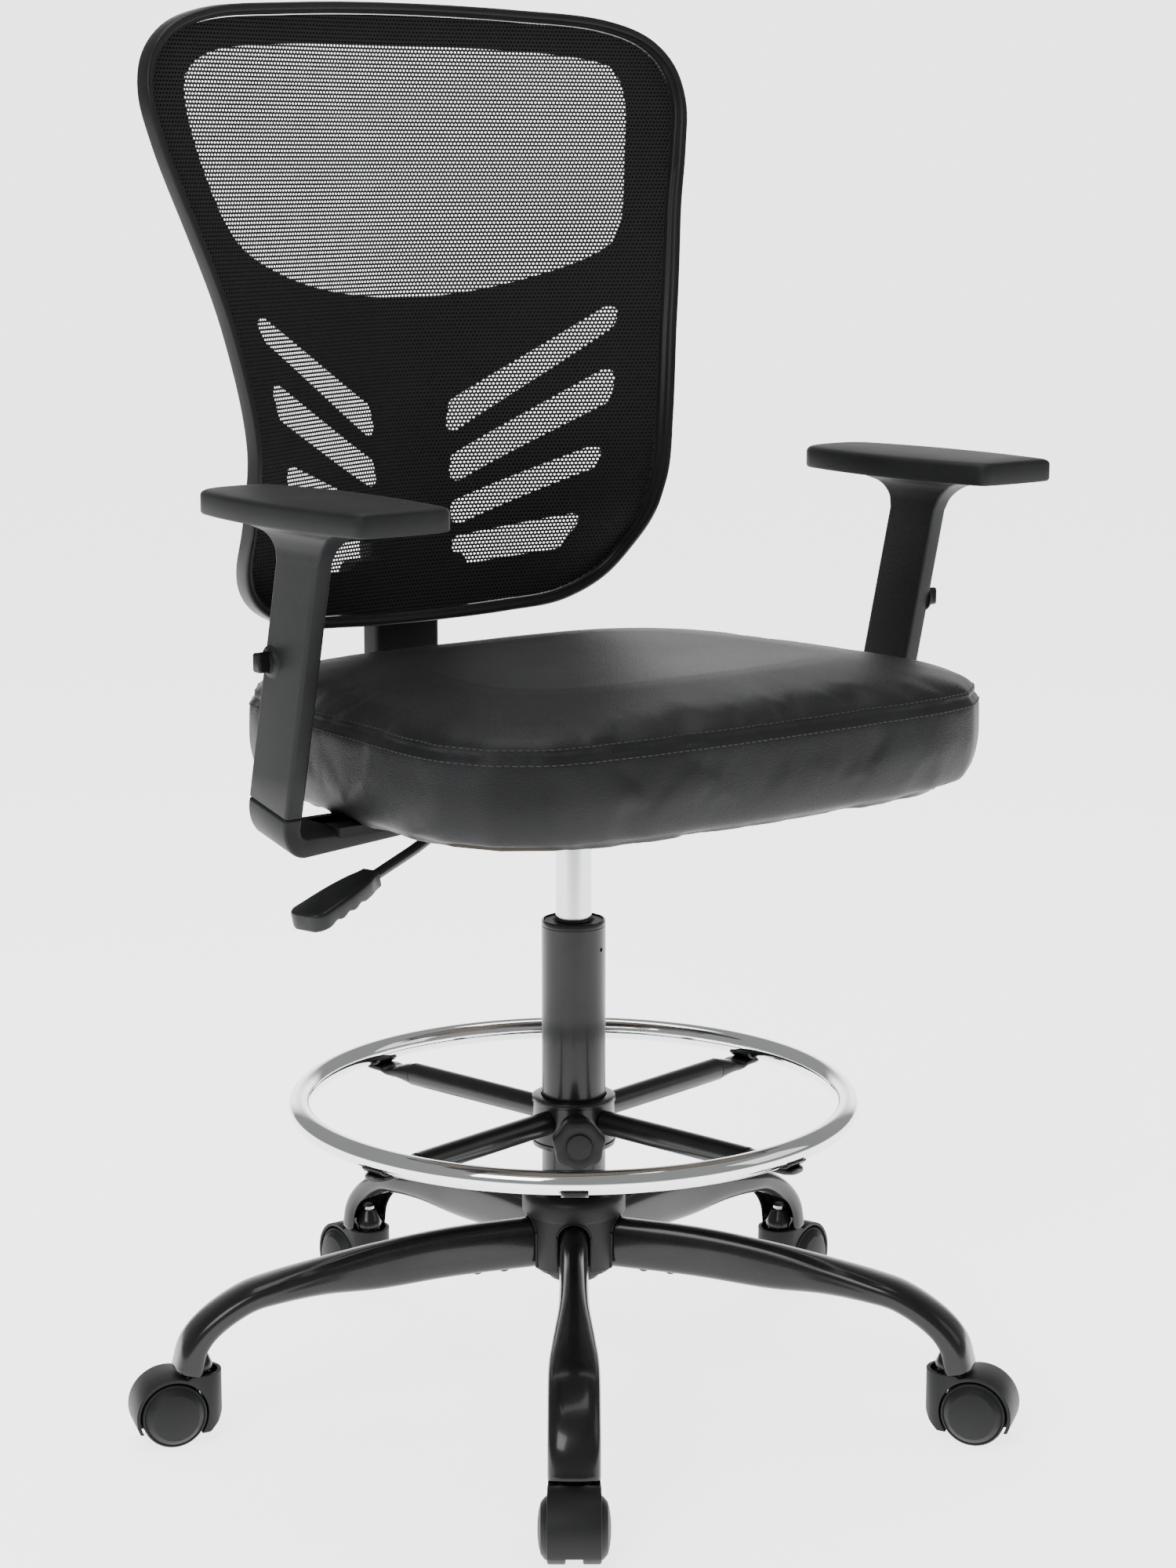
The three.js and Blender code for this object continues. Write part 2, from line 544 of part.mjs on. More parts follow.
// ---------------------------------------------------------------- seat
// the seat outline, shrunk inwards by an inset
function seatOutline(inset) {
  const front = SEAT_FRONT + inset;
  const back = SEAT_BACK - inset;
  const wide = SEAT_HALF_WIDTH - inset;
  const narrow = SEAT_BACK_HALF_WIDTH - inset;
  const fc = SEAT_FRONT_CORNER - inset * 0.5;
  const bc = SEAT_BACK_CORNER - inset * 0.5;
  const bow = 6;
  const path = new THREE.Shape();
  path.moveTo(0, front - bow);
  path.quadraticCurveTo(wide - fc * 1.4, front - bow * 0.8, wide - fc, front + bow * 0.4);
  path.bezierCurveTo(wide - fc * 0.45, front + bow, wide, front + fc * 0.45, wide, front + fc * 1.1);
  path.quadraticCurveTo(wide - 1, (front + back) / 2, narrow, back - bc);
  path.bezierCurveTo(narrow - 4, back - bc * 0.4, narrow - bc * 0.45, back - 4, narrow - bc, back);
  path.quadraticCurveTo(narrow * 0.3, back + 4, 0, back + 4);
  const right = path.getSpacedPoints(20);
  const left = right.slice(1, -1).reverse().map((p) => new THREE.Vector2(-p.x, p.y));
  return [...right, ...left];
}
const flat = (outline, z) => outline.map((p) => new THREE.Vector3(p.x, p.y, z));

function cushionSolid() {
  const rings = [
    [8, SEAT_BOTTOM], [3, SEAT_BOTTOM + 12], [0, SEAT_BOTTOM + 30], [0, SEAT_SEAM - 3], [7, SEAT_SEAM + 5],
    [30, SEAT_CROWN - 13], [90, SEAT_CROWN - 4], [150, SEAT_CROWN],
  ].map(([inset, z]) => flat(seatOutline(inset), z));
  const pocket = loft([flat(seatOutline(BOARD_INSET - 1), SEAT_BOTTOM - 5),
    flat(seatOutline(BOARD_INSET - 1), SEAT_BOTTOM + BOARD_THICK + GAP)]);
  return loft(rings).subtract(pocket);
}
const boardPiece = loft([flat(seatOutline(BOARD_INSET), SEAT_BOTTOM),
  flat(seatOutline(BOARD_INSET), SEAT_BOTTOM + BOARD_THICK)]);
add(chair, 'seat_cushion', cushionSolid(), leather);
add(chair, 'seat_board', boardPiece, plywood);

// ---------------------------------------------------------------- seat mechanism
const plateTop = SEAT_BOTTOM - GAP;
const PLATE_THICK = 3;
const PAN = { halfX: 48, front: -72, back: 74, bottom: 462, wall: 3 };
const leverRootY = -22;
const leverLevel = 486;

function mechanismSolid() {
  const plate = box(0, 0, plateTop - PLATE_THICK / 2, 190, 200, PLATE_THICK);
  const high = plateTop - PLATE_THICK - PAN.bottom + 1;
  const midY = (PAN.front + PAN.back) / 2;
  const deep = PAN.back - PAN.front;
  const outer = box(0, midY, PAN.bottom + high / 2, 2 * PAN.halfX, deep, high);
  const inner = box(0, midY, PAN.bottom + high / 2 - 2, 2 * (PAN.halfX - PAN.wall), deep - 2 * PAN.wall, high);
  const slot = box(-PAN.halfX, leverRootY, leverLevel, 4 * PAN.wall, 4 * LEVER_RADIUS, 4 * LEVER_RADIUS);
  const socket = rod(LIFT_RADIUS + 5, PAN.bottom - 12, plateTop - PLATE_THICK + 1, 20);
  const bore = rod(LIFT_RADIUS + GAP, PAN.bottom - 20, LIFT_TOP + GAP, 20);
  return plate.add(outer.subtract(inner)).add(socket).subtract(slot).subtract(bore);
}
add(chair, 'seat_mechanism', mechanismSolid(), blackPaint);

// ---------------------------------------------------------------- lever
const LEVER_PASS = 8;            // lever rod's centre line in front of the arm's foot
const leverBend = new THREE.Vector3(-169, ARM_MID - ARM_DEPTH / 2 - LEVER_PASS, leverLevel + 4);
const leverAim = new THREE.Vector3(-111, -29, -30.5).normalize();
const paddleStart = leverBend.clone().addScaledVector(leverAim, 84);

function leverRod() {
  const path = new THREE.CatmullRomCurve3([
    new THREE.Vector3(-PAN.halfX + 14, leverRootY, leverLevel),
    new THREE.Vector3(-100, -35.5, leverLevel),
    leverBend,
    leverBend.clone().addScaledVector(leverAim, 40),
    paddleStart.clone().addScaledVector(leverAim, -GAP),
  ], false, 'centripetal');
  const ring = section(LEVER_RADIUS, LEVER_RADIUS, 2, 8).map(([a, b]) => new THREE.Vector2(a, b));
  const bent = new THREE.ExtrudeGeometry(new THREE.Shape(ring), { steps: 12, extrudePath: path, bevelEnabled: false });
  return toSolid(outward(bent));
}

function leverPaddle() {
  const half = PADDLE_WIDE / 2;
  const neck = 8;
  const outline = new THREE.Shape();
  outline.moveTo(0, -neck);
  outline.lineTo(6, -neck - 1);
  outline.lineTo(15, -half + 4.5);
  outline.lineTo(PADDLE_LENGTH - 10, -half);
  outline.quadraticCurveTo(PADDLE_LENGTH, -half, PADDLE_LENGTH, -half + 10);
  outline.lineTo(PADDLE_LENGTH, half - 10);
  outline.quadraticCurveTo(PADDLE_LENGTH, half, PADDLE_LENGTH - 10, half);
  outline.lineTo(15, half - 4.5);
  outline.lineTo(6, neck + 1);
  outline.lineTo(0, neck);
  const blade = toSolid(extrude(outline, PADDLE_THICK).translate(0, 0, -PADDLE_THICK / 2));
  const yaw = THREE.MathUtils.radToDeg(Math.atan2(leverAim.y, leverAim.x));
  const dip = THREE.MathUtils.radToDeg(Math.asin(-leverAim.z));
  return blade.rotate([0, dip, 0]).rotate([0, 0, yaw]).translate(paddleStart.toArray());
}
add(chair, 'lever_rod', leverRod(), blackPaint);
add(chair, 'lever_paddle', leverPaddle(), blackNylon);

// ---------------------------------------------------------------- arms
// built for the +X side; the other side is their mirror image, but for the button's place
const armY = (z) => ARM_MID - ARM_LEAN * (z - ARM_SPLIT);

// a rectangle with rounded corners
function roundedBox(halfA, halfB, radius) {
  return Array.from({ length: 12 }, (_, i) => {
    const quarter = Math.floor(i / 3);
    const t = ((quarter + (i % 3) / 2) * Math.PI) / 2;
    const signA = quarter === 0 || quarter === 3 ? 1 : -1;
    const signB = quarter < 2 ? 1 : -1;
    return [signA * (halfA - radius) + radius * Math.cos(t), signB * (halfB - radius) + radius * Math.sin(t)];
  });
}

// an upright with a rounded section whose middle follows the lean
function leaning(stations, edge = ARM_EDGE) {
  return loft(stations.map(([z, thick, deep]) => roundedBox(thick / 2, deep / 2, Math.min(edge, thick / 2.2))
    .map(([a, b]) => new THREE.Vector3(armMiddleX + a, armY(z) + b, z))));
}

// the split between sleeve and foot is square to the leaning upright
const leanAngle = Math.atan(ARM_LEAN);
const splitNormal = [0, -Math.sin(leanAngle), Math.cos(leanAngle)];
const splitOffset = splitNormal[1] * ARM_MID + splitNormal[2] * ARM_SPLIT;

function armSleeve(side) {
  const lip = PAD_BOTTOM - GAP;
  const body = leaning([
    [ARM_SPLIT - 15, ARM_THICK, ARM_DEPTH], [640, ARM_THICK, ARM_DEPTH - 1],
    [lip - 28, ARM_THICK, ARM_DEPTH - 1],
    [lip - 17, ARM_THICK + 1, ARM_DEPTH + 8], [lip - 8, ARM_THICK + 6, ARM_DEPTH + 30],
    [lip - 3, ARM_THICK + 18, ARM_DEPTH + 60], [lip, ARM_THICK + 20, ARM_DEPTH + 62],
  ]).trimByPlane(splitNormal, splitOffset);
  const roof = ARM_CORE_TOP + 3;
  const cavity = leaning([
    [ARM_SPLIT - 20, armCoreThick + 2 * GAP, ARM_CORE_DEPTH + 2 * GAP],
    [roof, armCoreThick + 2 * GAP, ARM_CORE_DEPTH + 2 * GAP],
  ]);
  const y = armY(BUTTON_HEIGHT) - side * BUTTON_OFFSET;
  const boss = alongX(turned([
    [0, -2], [BOSS_RADIUS, -2], [BOSS_RADIUS, 0.4], [BOSS_RADIUS - 2.2, 1.8], [BOSS_RADIUS - 3, BOSS_PROUD],
    [0, BOSS_PROUD],
  ], 18)).translate([armOuter, y, BUTTON_HEIGHT]);
  const slot = box(armOuter, y, BUTTON_HEIGHT, 14, BUTTON_WIDE + 2 * GAP, BUTTON_TALL + 2 * GAP);
  return body.add(boss).subtract(cavity).subtract(slot);
}

// an L whose corner is rounded, square to the upright, with a flat tongue under the seat
function armBracket() {
  const inner = armOuter - ARM_THICK;
  const drop = ARM_FOOT_DROP;
  const footTop = -drop + ARM_FOOT_THICK;
  const cornerWide = 22;
  const cornerHigh = drop - GAP - 3;
  const profile = new THREE.Shape();
  profile.moveTo(armOuter, -GAP);
  profile.lineTo(armOuter, -drop + cornerHigh);
  profile.absellipse(armOuter - cornerWide, -drop + cornerHigh, cornerWide, cornerHigh, 0, -Math.PI / 2, true);
  profile.lineTo(ARM_FOOT_INNER, -drop + 9);
  profile.lineTo(ARM_FOOT_INNER, footTop);
  profile.lineTo(inner - 6, footTop);
  profile.quadraticCurveTo(inner, footTop, inner, footTop + 6);
  profile.lineTo(inner, -GAP);
  const deep = (ARM_DEPTH - 1) * Math.cos(leanAngle);
  const elbow = toSolid(extrude(profile, deep).rotateX(Math.PI / 2).translate(0, deep / 2, 0))
    .rotate([THREE.MathUtils.radToDeg(leanAngle), 0, 0]).translate([0, ARM_MID, ARM_SPLIT]);
  const seatUnder = SEAT_BOTTOM - GAP;
  const underSeat = box(0, ARM_MID, seatUnder + 50, 2 * (SEAT_HALF_WIDTH + 4), 200, 100);
  const tongueEnd = SEAT_HALF_WIDTH - 4;
  const tongue = box((ARM_FOOT_INNER + tongueEnd) / 2, ARM_MID, seatUnder - ARM_TONGUE / 2,
    tongueEnd - ARM_FOOT_INNER, deep - 4, ARM_TONGUE);
  const core = leaning([
    [ARM_SPLIT - 14, armCoreThick, ARM_CORE_DEPTH], [ARM_CORE_TOP, armCoreThick, ARM_CORE_DEPTH],
  ]);
  return elbow.subtract(underSeat).add(tongue).add(core);
}

// the pad's plan, from its squared front round the bulged edges to the narrower back
function padOutline(inset) {
  const front = PAD_FRONT + inset;
  const back = PAD_BACK - inset;
  const f = PAD_FRONT_WIDTH / 2 - inset;
  const m = PAD_MID_WIDTH / 2 - inset;
  const half = new THREE.Shape();
  half.moveTo(0, front - 1.5);
  half.lineTo(f - 5, front);
  half.quadraticCurveTo(f, front, f + 0.4, front + 5);
  half.bezierCurveTo(m + 2, front + 60, m + 5, back - 80, f * 0.9, back - 15);
  half.quadraticCurveTo(f * 0.75, back, 0, back);
  const right = half.getSpacedPoints(16);
  const left = right.slice(1, -1).reverse().map((p) => new THREE.Vector2(-p.x, p.y));
  return [...right, ...left].map((p) => new THREE.Vector2(p.x + armMiddleX - PAD_INWARD, p.y));
}
const armPad = loft([[3, PAD_BOTTOM], [0, PAD_BOTTOM + 3], [0, PAD_TOP - 6], [1.5, PAD_TOP - 3.2],
  [5, PAD_TOP - 1.6], [20, PAD_TOP]].map(([inset, z]) => flat(padOutline(inset), z)));
const buttonPlug = 1.5;
const armButton = (side) => box(
  armOuter + (BUTTON_PROUD - buttonPlug) / 2, armY(BUTTON_HEIGHT) - side * BUTTON_OFFSET, BUTTON_HEIGHT,
  BUTTON_PROUD + buttonPlug, BUTTON_WIDE, BUTTON_TALL,
);

const bracketPiece = armBracket();
for (const [name, side] of [['left', 1], ['right', -1]]) {
  const place = (solid) => (side > 0 ? solid : mirrorX(solid));
  add(chair, `arm_bracket_${name}`, place(bracketPiece), greyPlastic);
  add(chair, `arm_sleeve_${name}`, place(armSleeve(side)), greyPlastic);
  add(chair, `arm_pad_${name}`, place(armPad), greyPlastic);
  add(chair, `arm_button_${name}`, place(armButton(side)), blackNylon);
}

// ---------------------------------------------------------------- back
// the back is a sheet y(x, z): a leaning middle line whose sides come forward most at the waist
const backMiddle = [[590, 198], [660, 208], [740, 217], [860, 225], [1100, 234]];       // [z, y] at x = 0
const backWrap = [[590, 10], [640, 40], [690, 80], [750, 101], [840, 88], [945, 55], [1020, 40], [1100, 34]];
const WRAP_AT = 230;             // half width at which backWrap is measured
const WRAP_SOFT = 60;            // roundness of the wrap at the middle
function backY(x, z) {
  const rise = (v) => Math.hypot(v, WRAP_SOFT) - WRAP_SOFT;
  return curveValue(backMiddle, z) - (curveValue(backWrap, z) * rise(x)) / rise(WRAP_AT);
}

// the rim's outer outline, bottom middle to top middle, as [x, z]
const rimHalf = [
  [0, 599], [78, 601], [136, 607], [175, 627], [195, 659], [202, 705], [203, 755], [215, 835],
  [235, 915], [253, 978], [259, 1014], [252, 1043], [231, 1065], [192, 1079], [108, 1086], [0, 1089],
];
const RIM_STATIONS = 64;
function rimCurve() {
  const right = rimHalf.map(([x, z]) => new THREE.Vector3(x, 0, z));
  const left = rimHalf.slice(1, -1).reverse().map(([x, z]) => new THREE.Vector3(-x, 0, z));
  return new THREE.CatmullRomCurve3([...right, ...left], true, 'centripetal');
}
const rim = rimCurve().getSpacedPoints(RIM_STATIONS).slice(0, -1);

// the rim outline moved inwards in the plane of the back
function rimInset(inset) {
  return rim.map((p, i) => {
    const ahead = rim[(i + 1) % rim.length].clone().sub(rim.at(i - 1)).normalize();
    return new THREE.Vector3(p.x - ahead.z * inset, 0, p.z + ahead.x * inset);
  });
}

function frameSolid() {
  const outerEdge = rimInset(0);
  const innerEdge = rimInset(FRAME_WIDE);
  const rings = outerEdge.map((outer, i) => {
    const inner = innerEdge[i];
    const at = (t, depth) => {
      const x = THREE.MathUtils.lerp(outer.x, inner.x, t);
      const z = THREE.MathUtils.lerp(outer.z, inner.z, t);
      return new THREE.Vector3(x, backY(x, z) + depth, z);
    };
    return [at(0.25, -FRAME_FRONT), at(0, -FRAME_FRONT + 2.5), at(0, FRAME_REAR - 2), at(0.2, FRAME_REAR),
      at(0.8, FRAME_REAR), at(1, FRAME_REAR - 2), at(1, -FRAME_FRONT + 2.5), at(0.75, -FRAME_FRONT)];
  });
  return loft(rings, true);
}

function meshSolid() {
  const edge = rimInset(FRAME_WIDE + GAP + 0.2);
  const centre = new THREE.Vector3(0, 0, 850);
  const RINGS = 4;
  const sheet = (offset) => {
    const rows = [];
    for (let k = RINGS; k >= 1; k -= 1) {
      rows.push(edge.map((p) => {
        const q = centre.clone().lerp(p, k / RINGS);
        return new THREE.Vector3(q.x, backY(q.x, q.z) + offset, q.z);
      }));
    }
    return rows;
  };
  return loft([...sheet(-MESH_THICK / 2).reverse(), ...sheet(MESH_THICK / 2)]);
}
add(chair, 'back_frame', frameSolid(), greyPlastic);
add(chair, 'back_mesh', meshSolid(), meshCloth);

// a bar that runs back under the seat, bends up and carries the back on a plate
const PLATE_LOW = 597;
const PLATE_TOP = 650;
const PLATE_WIDE = 118;
function spineSolid() {
  const start = PAN.back + GAP;
  const y = SPINE_BACK_OFFSET;
  const path = [[start, SPINE_LEVEL], [y - SPINE_BEND, SPINE_LEVEL]];
  for (let i = 1; i <= 6; i += 1) {
    const a = (i / 6) * (Math.PI / 2);
    path.push([y - SPINE_BEND + SPINE_BEND * Math.sin(a), SPINE_LEVEL + SPINE_BEND * (1 - Math.cos(a))]);
  }
  path.push([y, 612], [y + 9, SPINE_TOP]);
  const half = SPINE_THICK / 2;
  const rings = path.map(([py, pz], i) => {
    const a = path[Math.max(i - 1, 0)];
    const b = path[Math.min(i + 1, path.length - 1)];
    const length = Math.hypot(b[0] - a[0], b[1] - a[1]);
    const [ty, tz] = [(b[0] - a[0]) / length, (b[1] - a[1]) / length];
    return section(half, SPINE_WIDE / 2, 7, 12).map(([u, v]) => new THREE.Vector3(v, py + tz * u, pz - ty * u));
  });
  const plateFront = backY(0, PLATE_TOP) + FRAME_REAR + GAP;
  const plateDeep = y + 4 - plateFront;
  const plateLevel = (PLATE_TOP + PLATE_LOW) / 2;
  const plate = box(0, plateFront + plateDeep / 2, plateLevel, PLATE_WIDE, plateDeep, PLATE_TOP - PLATE_LOW);
  const railLevel = PLATE_LOW + 10;
  const lipFront = backY(0, railLevel) + FRAME_REAR + GAP;
  const lip = box(0, (lipFront + y) / 2, PLATE_LOW + 6, PLATE_WIDE, y - lipFront, 12);
  return loft(rings).add(plate).add(lip);
}
add(chair, 'back_spine', spineSolid(), blackNylon);

// ---------------------------------------------------------------- place the whole chair
// the origin is on the floor, midway between the front-most and rear-most casters
const casterReach = STEM_CIRCLE + CASTER_TRAIL + hoodOuter;
const turnAngle = THREE.MathUtils.degToRad(BASE_TURN);
const frontAngle = Math.PI / LEG_COUNT - Math.abs(turnAngle);
const rearReach = casterReach * Math.cos(turnAngle) + hoodHalf * Math.sin(Math.abs(turnAngle));
const frontReach = casterReach * Math.cos(frontAngle) + hoodHalf * Math.sin(frontAngle);
chair.position.y = (frontReach - rearReach) / 2;

export default chair;
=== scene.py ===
# %% [markdown]
# # A drafting chair, finished in Blender
#
# The chair's engineering model is loaded first and stays fixed. This lesson builds the surfaces that people
# see around it: painted steel, chrome, moulded plastic, a padded seat and a knitted mesh back. Every piece
# takes its place from the fixed model, and rides on one of its moving bodies.

import json
import math

import bmesh
import bpy
import numpy as np
from mathutils import Matrix, Vector, bvhtree


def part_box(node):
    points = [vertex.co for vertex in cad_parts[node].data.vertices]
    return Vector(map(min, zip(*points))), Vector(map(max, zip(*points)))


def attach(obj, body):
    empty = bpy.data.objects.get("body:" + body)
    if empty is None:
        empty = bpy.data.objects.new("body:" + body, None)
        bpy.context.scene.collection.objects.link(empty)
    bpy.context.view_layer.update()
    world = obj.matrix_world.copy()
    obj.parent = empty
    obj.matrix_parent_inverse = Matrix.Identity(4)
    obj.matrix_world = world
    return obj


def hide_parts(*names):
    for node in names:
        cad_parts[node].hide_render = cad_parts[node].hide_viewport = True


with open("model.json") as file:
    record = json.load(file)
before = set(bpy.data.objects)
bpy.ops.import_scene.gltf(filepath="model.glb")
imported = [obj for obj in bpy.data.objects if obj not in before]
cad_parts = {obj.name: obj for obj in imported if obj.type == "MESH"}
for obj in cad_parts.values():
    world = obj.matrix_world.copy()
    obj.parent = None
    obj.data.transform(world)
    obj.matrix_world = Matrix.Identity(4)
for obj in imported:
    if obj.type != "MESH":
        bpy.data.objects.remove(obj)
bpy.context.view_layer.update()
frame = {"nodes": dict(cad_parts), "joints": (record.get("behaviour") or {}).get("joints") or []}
MM = 0.001

# %% [markdown]
# Many heights and radii below are read from the fixed model's parts, so the finished pieces land where the
# engineering parts are. The gas lift's axis is the middle of the chair, and most parts are placed about it.

# %% Read the main places
def middle(node):
    """The middle of a fixed part's box."""
    low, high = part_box(node)
    return (low + high) / 2


def joint(name):
    """The row of a joint in the fixed model."""
    return next(row for row in frame["joints"] if row["name"] == name)


axis = Vector((middle("outer_column").x, middle("outer_column").y, 0))
LEG_NUMBERS = range(1, 6)
stem_places = [Vector(joint(f"caster_swivel_{n}")["pos_m"]) for n in LEG_NUMBERS]
leg_angles = [math.atan2(p.y - axis.y, p.x - axis.x) for p in stem_places]
stem_circle = (stem_places[0].xy - axis.xy).length
print("stem circle, mm:", round(stem_circle / MM, 1))


def about_axis(angle, radius=0.0):
    """A placing matrix: turned about the gas lift's axis, then moved out along its own X."""
    return Matrix.Translation(axis) @ Matrix.Rotation(angle, 4, "Z") @ Matrix.Translation((radius, 0, 0))


def quarter(way):
    """A quarter turn about one of the main axes."""
    return Matrix.Rotation(math.pi / 2, 4, way)


def in_mm(pairs):
    """Pairs given in millimetres, as metres."""
    return [(a * MM, b * MM) for a, b in pairs]


# %% [markdown]
# ## Small mesh tools
#
# Most pieces here are lofts: a row of rings with a skin over them. A lathe is a loft too, whose rings are
# circles. Building them from points, rather than by modelling by hand, keeps every radius a named number.

# %% Lofts, lathes and sweeps
def add_object(name, points, faces, crease=38):
    """A new mesh object, smooth-shaded except where its faces meet at more than crease degrees."""
    mesh = bpy.data.meshes.new(name)
    mesh.from_pydata([tuple(p) for p in points], [], faces)
    made = bpy.data.objects.new(name, mesh)
    bpy.context.scene.collection.objects.link(made)
    tidy_mesh(made, crease)
    return made


def tidy_mesh(made, crease=38):
    """Welds doubles, turns faces outwards and sets the shading."""
    work = bmesh.new()
    work.from_mesh(made.data)
    bmesh.ops.remove_doubles(work, verts=work.verts, dist=1e-6)
    bmesh.ops.recalc_face_normals(work, faces=work.faces)
    work.to_mesh(made.data)
    work.free()
    made.data.shade_smooth()
    made.data.set_sharp_from_angle(angle=math.radians(crease))
    return made


def skin(rings, closed=True, joined=False, capped=True):
    """Points and faces over rings of equal length. joined links the last ring to the first."""
    size = len(rings[0])
    points = [p for ring in rings for p in ring]
    faces = []
    last = len(rings) if joined else len(rings) - 1
    steps = size if closed else size - 1
    for i in range(last):
        here, there = i * size, ((i + 1) % len(rings)) * size
        for j in range(steps):
            k = (j + 1) % size
            faces.append((here + j, here + k, there + k, there + j))
    if capped and not joined and closed:
        faces.append(tuple(range(size))[::-1])
        faces.append(tuple(range((len(rings) - 1) * size, len(rings) * size)))
    return points, faces


def loft(name, rings, crease=38, **how):
    points, faces = skin(rings, **how)
    return add_object(name, points, faces, crease)


def lathe(name, profile, segments=72, crease=30):
    """A solid of revolution about Z from a closed profile of (radius, height) points."""
    rings = []
    for i in range(segments):
        turn = 2 * math.pi * i / segments
        rings.append([Vector((r * math.cos(turn), r * math.sin(turn), z)) for r, z in profile])
    return loft(name, rings, crease, joined=True)


def rounded(half_a, half_b, squareness, count):
    """Points of a rounded section: squareness 2 is an ellipse, larger is boxier."""
    points = []
    for i in range(count):
        turn = 2 * math.pi * i / count
        a, b = math.cos(turn), math.sin(turn)
        points.append((half_a * math.copysign(abs(a) ** (2 / squareness), a),
                       half_b * math.copysign(abs(b) ** (2 / squareness), b)))
    return points


def smooth_path(points, count):
    """Points spaced evenly along a smooth curve through the given ones."""
    points = [Vector(p) for p in points]
    ends = [2 * points[0] - points[1], *points, 2 * points[-1] - points[-2]]
    fine = []
    for a, b, c, d in zip(ends, ends[1:], ends[2:], ends[3:]):
        for i in range(24):
            t = i / 24
            fine.append(0.5 * (2 * b + (c - a) * t + (2 * a - 5 * b + 4 * c - d) * t ** 2
                               + (3 * b - a - 3 * c + d) * t ** 3))
    fine.append(points[-1])
    return even_points(fine, count)


def even_points(fine, count, closed=False):
    """The same line with its points spaced evenly."""
    line = fine + [fine[0]] if closed else fine
    lengths = np.cumsum([0] + [(b - a).length for a, b in zip(line, line[1:])])
    places = np.linspace(0, lengths[-1], count + 1)[:-1] if closed else np.linspace(0, lengths[-1], count)
    columns = np.array([list(p) for p in line])
    parts = [np.interp(places, lengths, column) for column in columns.T]
    return [Vector([float(part[i]) for part in parts]) for i in range(count)]


def curve_value(points, x):
    """Reads y at x along a smooth curve through (x, y) points whose x rises."""
    last = len(points) - 1
    if x <= points[0][0]:
        return points[0][1]
    if x >= points[last][0]:
        return points[last][1]
    i = max(k for k in range(last) if points[k][0] <= x)

    def slope(n):
        a, b = points[max(n - 1, 0)], points[min(n + 1, last)]
        return (b[1] - a[1]) / (b[0] - a[0])

    (x0, y0), (x1, y1) = points[i], points[i + 1]
    w = x1 - x0
    t = (x - x0) / w
    return ((2 * t ** 3 - 3 * t ** 2 + 1) * y0 + (t ** 3 - 2 * t ** 2 + t) * w * slope(i)
            + (3 * t ** 2 - 2 * t ** 3) * y1 + (t ** 3 - t ** 2) * w * slope(i + 1))


def tube(name, path, radius, sides=20, closed=False):
    """A round tube along a list of points."""
    rings = []
    count = len(path)
    for i, here in enumerate(path):
        before = path[i - 1] if closed else path[max(i - 1, 0)]
        after = path[(i + 1) % count] if closed else path[min(i + 1, count - 1)]
        ahead = (after - before).normalized()
        side = ahead.cross(Vector((0, 0, 1)))
        side = side.normalized() if side.length > 0.05 else Vector((1, 0, 0))
        up = side.cross(ahead)
        turns = [2 * math.pi * k / sides for k in range(sides)]
        rings.append([here + radius * (math.cos(t) * side + math.sin(t) * up) for t in turns])
    return loft(name, rings, joined=closed)


def prism(name, outline, depth, crease=38):
    """An outline in X and Y, given depth along Z from 0."""
    return loft(name, [[Vector((x, y, z)) for x, y in outline] for z in (0, depth)], crease)


# %% [markdown]
# Booleans cut slots and pockets, and a bevel gives moulded and pressed edges the small radius that catches
# light. Both are modifiers that are applied at once, so the finished mesh is plain.

# %% Cut, bevel, copy and place
def apply_modifiers(made):
    bpy.context.view_layer.update()
    shown = made.evaluated_get(bpy.context.evaluated_depsgraph_get())
    mesh = bpy.data.meshes.new_from_object(shown)
    made.modifiers.clear()
    made.data = mesh
    return made


def cut(made, *cutters, join=False):
    """Takes the cutters away from a mesh, or joins them to it."""
    for cutter in cutters:
        step = made.modifiers.new("cut", "BOOLEAN")
        step.operation = "UNION" if join else "DIFFERENCE"
        step.solver = "EXACT"
        step.object = cutter
    apply_modifiers(made)
    for cutter in cutters:
        bpy.data.objects.remove(cutter)
    return tidy_mesh(made)


def bevel(made, width, segments=3, angle=32, crease=45):
    step = made.modifiers.new("bevel", "BEVEL")
    step.width = width
    step.segments = segments
    step.limit_method = "ANGLE"
    step.angle_limit = math.radians(angle)
    step.harden_normals = False
    apply_modifiers(made)
    made.data.shade_smooth()
    made.data.set_sharp_from_angle(angle=math.radians(crease))
    return made


def moved(made, matrix):
    """Moves a mesh's own points."""
    made.data.transform(matrix)
    if matrix.determinant() < 0:
        made.data.flip_normals()
    return made


def joined(name, parts):
    """One object from several meshes."""
    work = bmesh.new()
    for part in parts:
        work.from_mesh(part.data)
    mesh = bpy.data.meshes.new(name)
    work.to_mesh(mesh)
    work.free()
    made = bpy.data.objects.new(name, mesh)
    bpy.context.scene.collection.objects.link(made)
    for part in parts:
        bpy.data.objects.remove(part)
    mesh.shade_smooth()
    mesh.set_sharp_from_angle(angle=math.radians(40))
    return made


def copy_of(made, name, matrix):
    """A separate copy of a mesh, moved into place."""
    other = bpy.data.objects.new(name, made.data.copy())
    bpy.context.scene.collection.objects.link(other)
    return moved(other, matrix)


def drop(*made):
    for one in made:
        bpy.data.objects.remove(one)


def finish_piece(made, body, material, slot, *nodes):
    """Gives a piece its material, the body it rides on and the fixed parts it stands for. The slot argument is
    not used.
    """
    made.data.materials.clear()
    made.data.materials.append(material)
    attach(made, body)
    if nodes:
        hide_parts(*nodes)
    return made


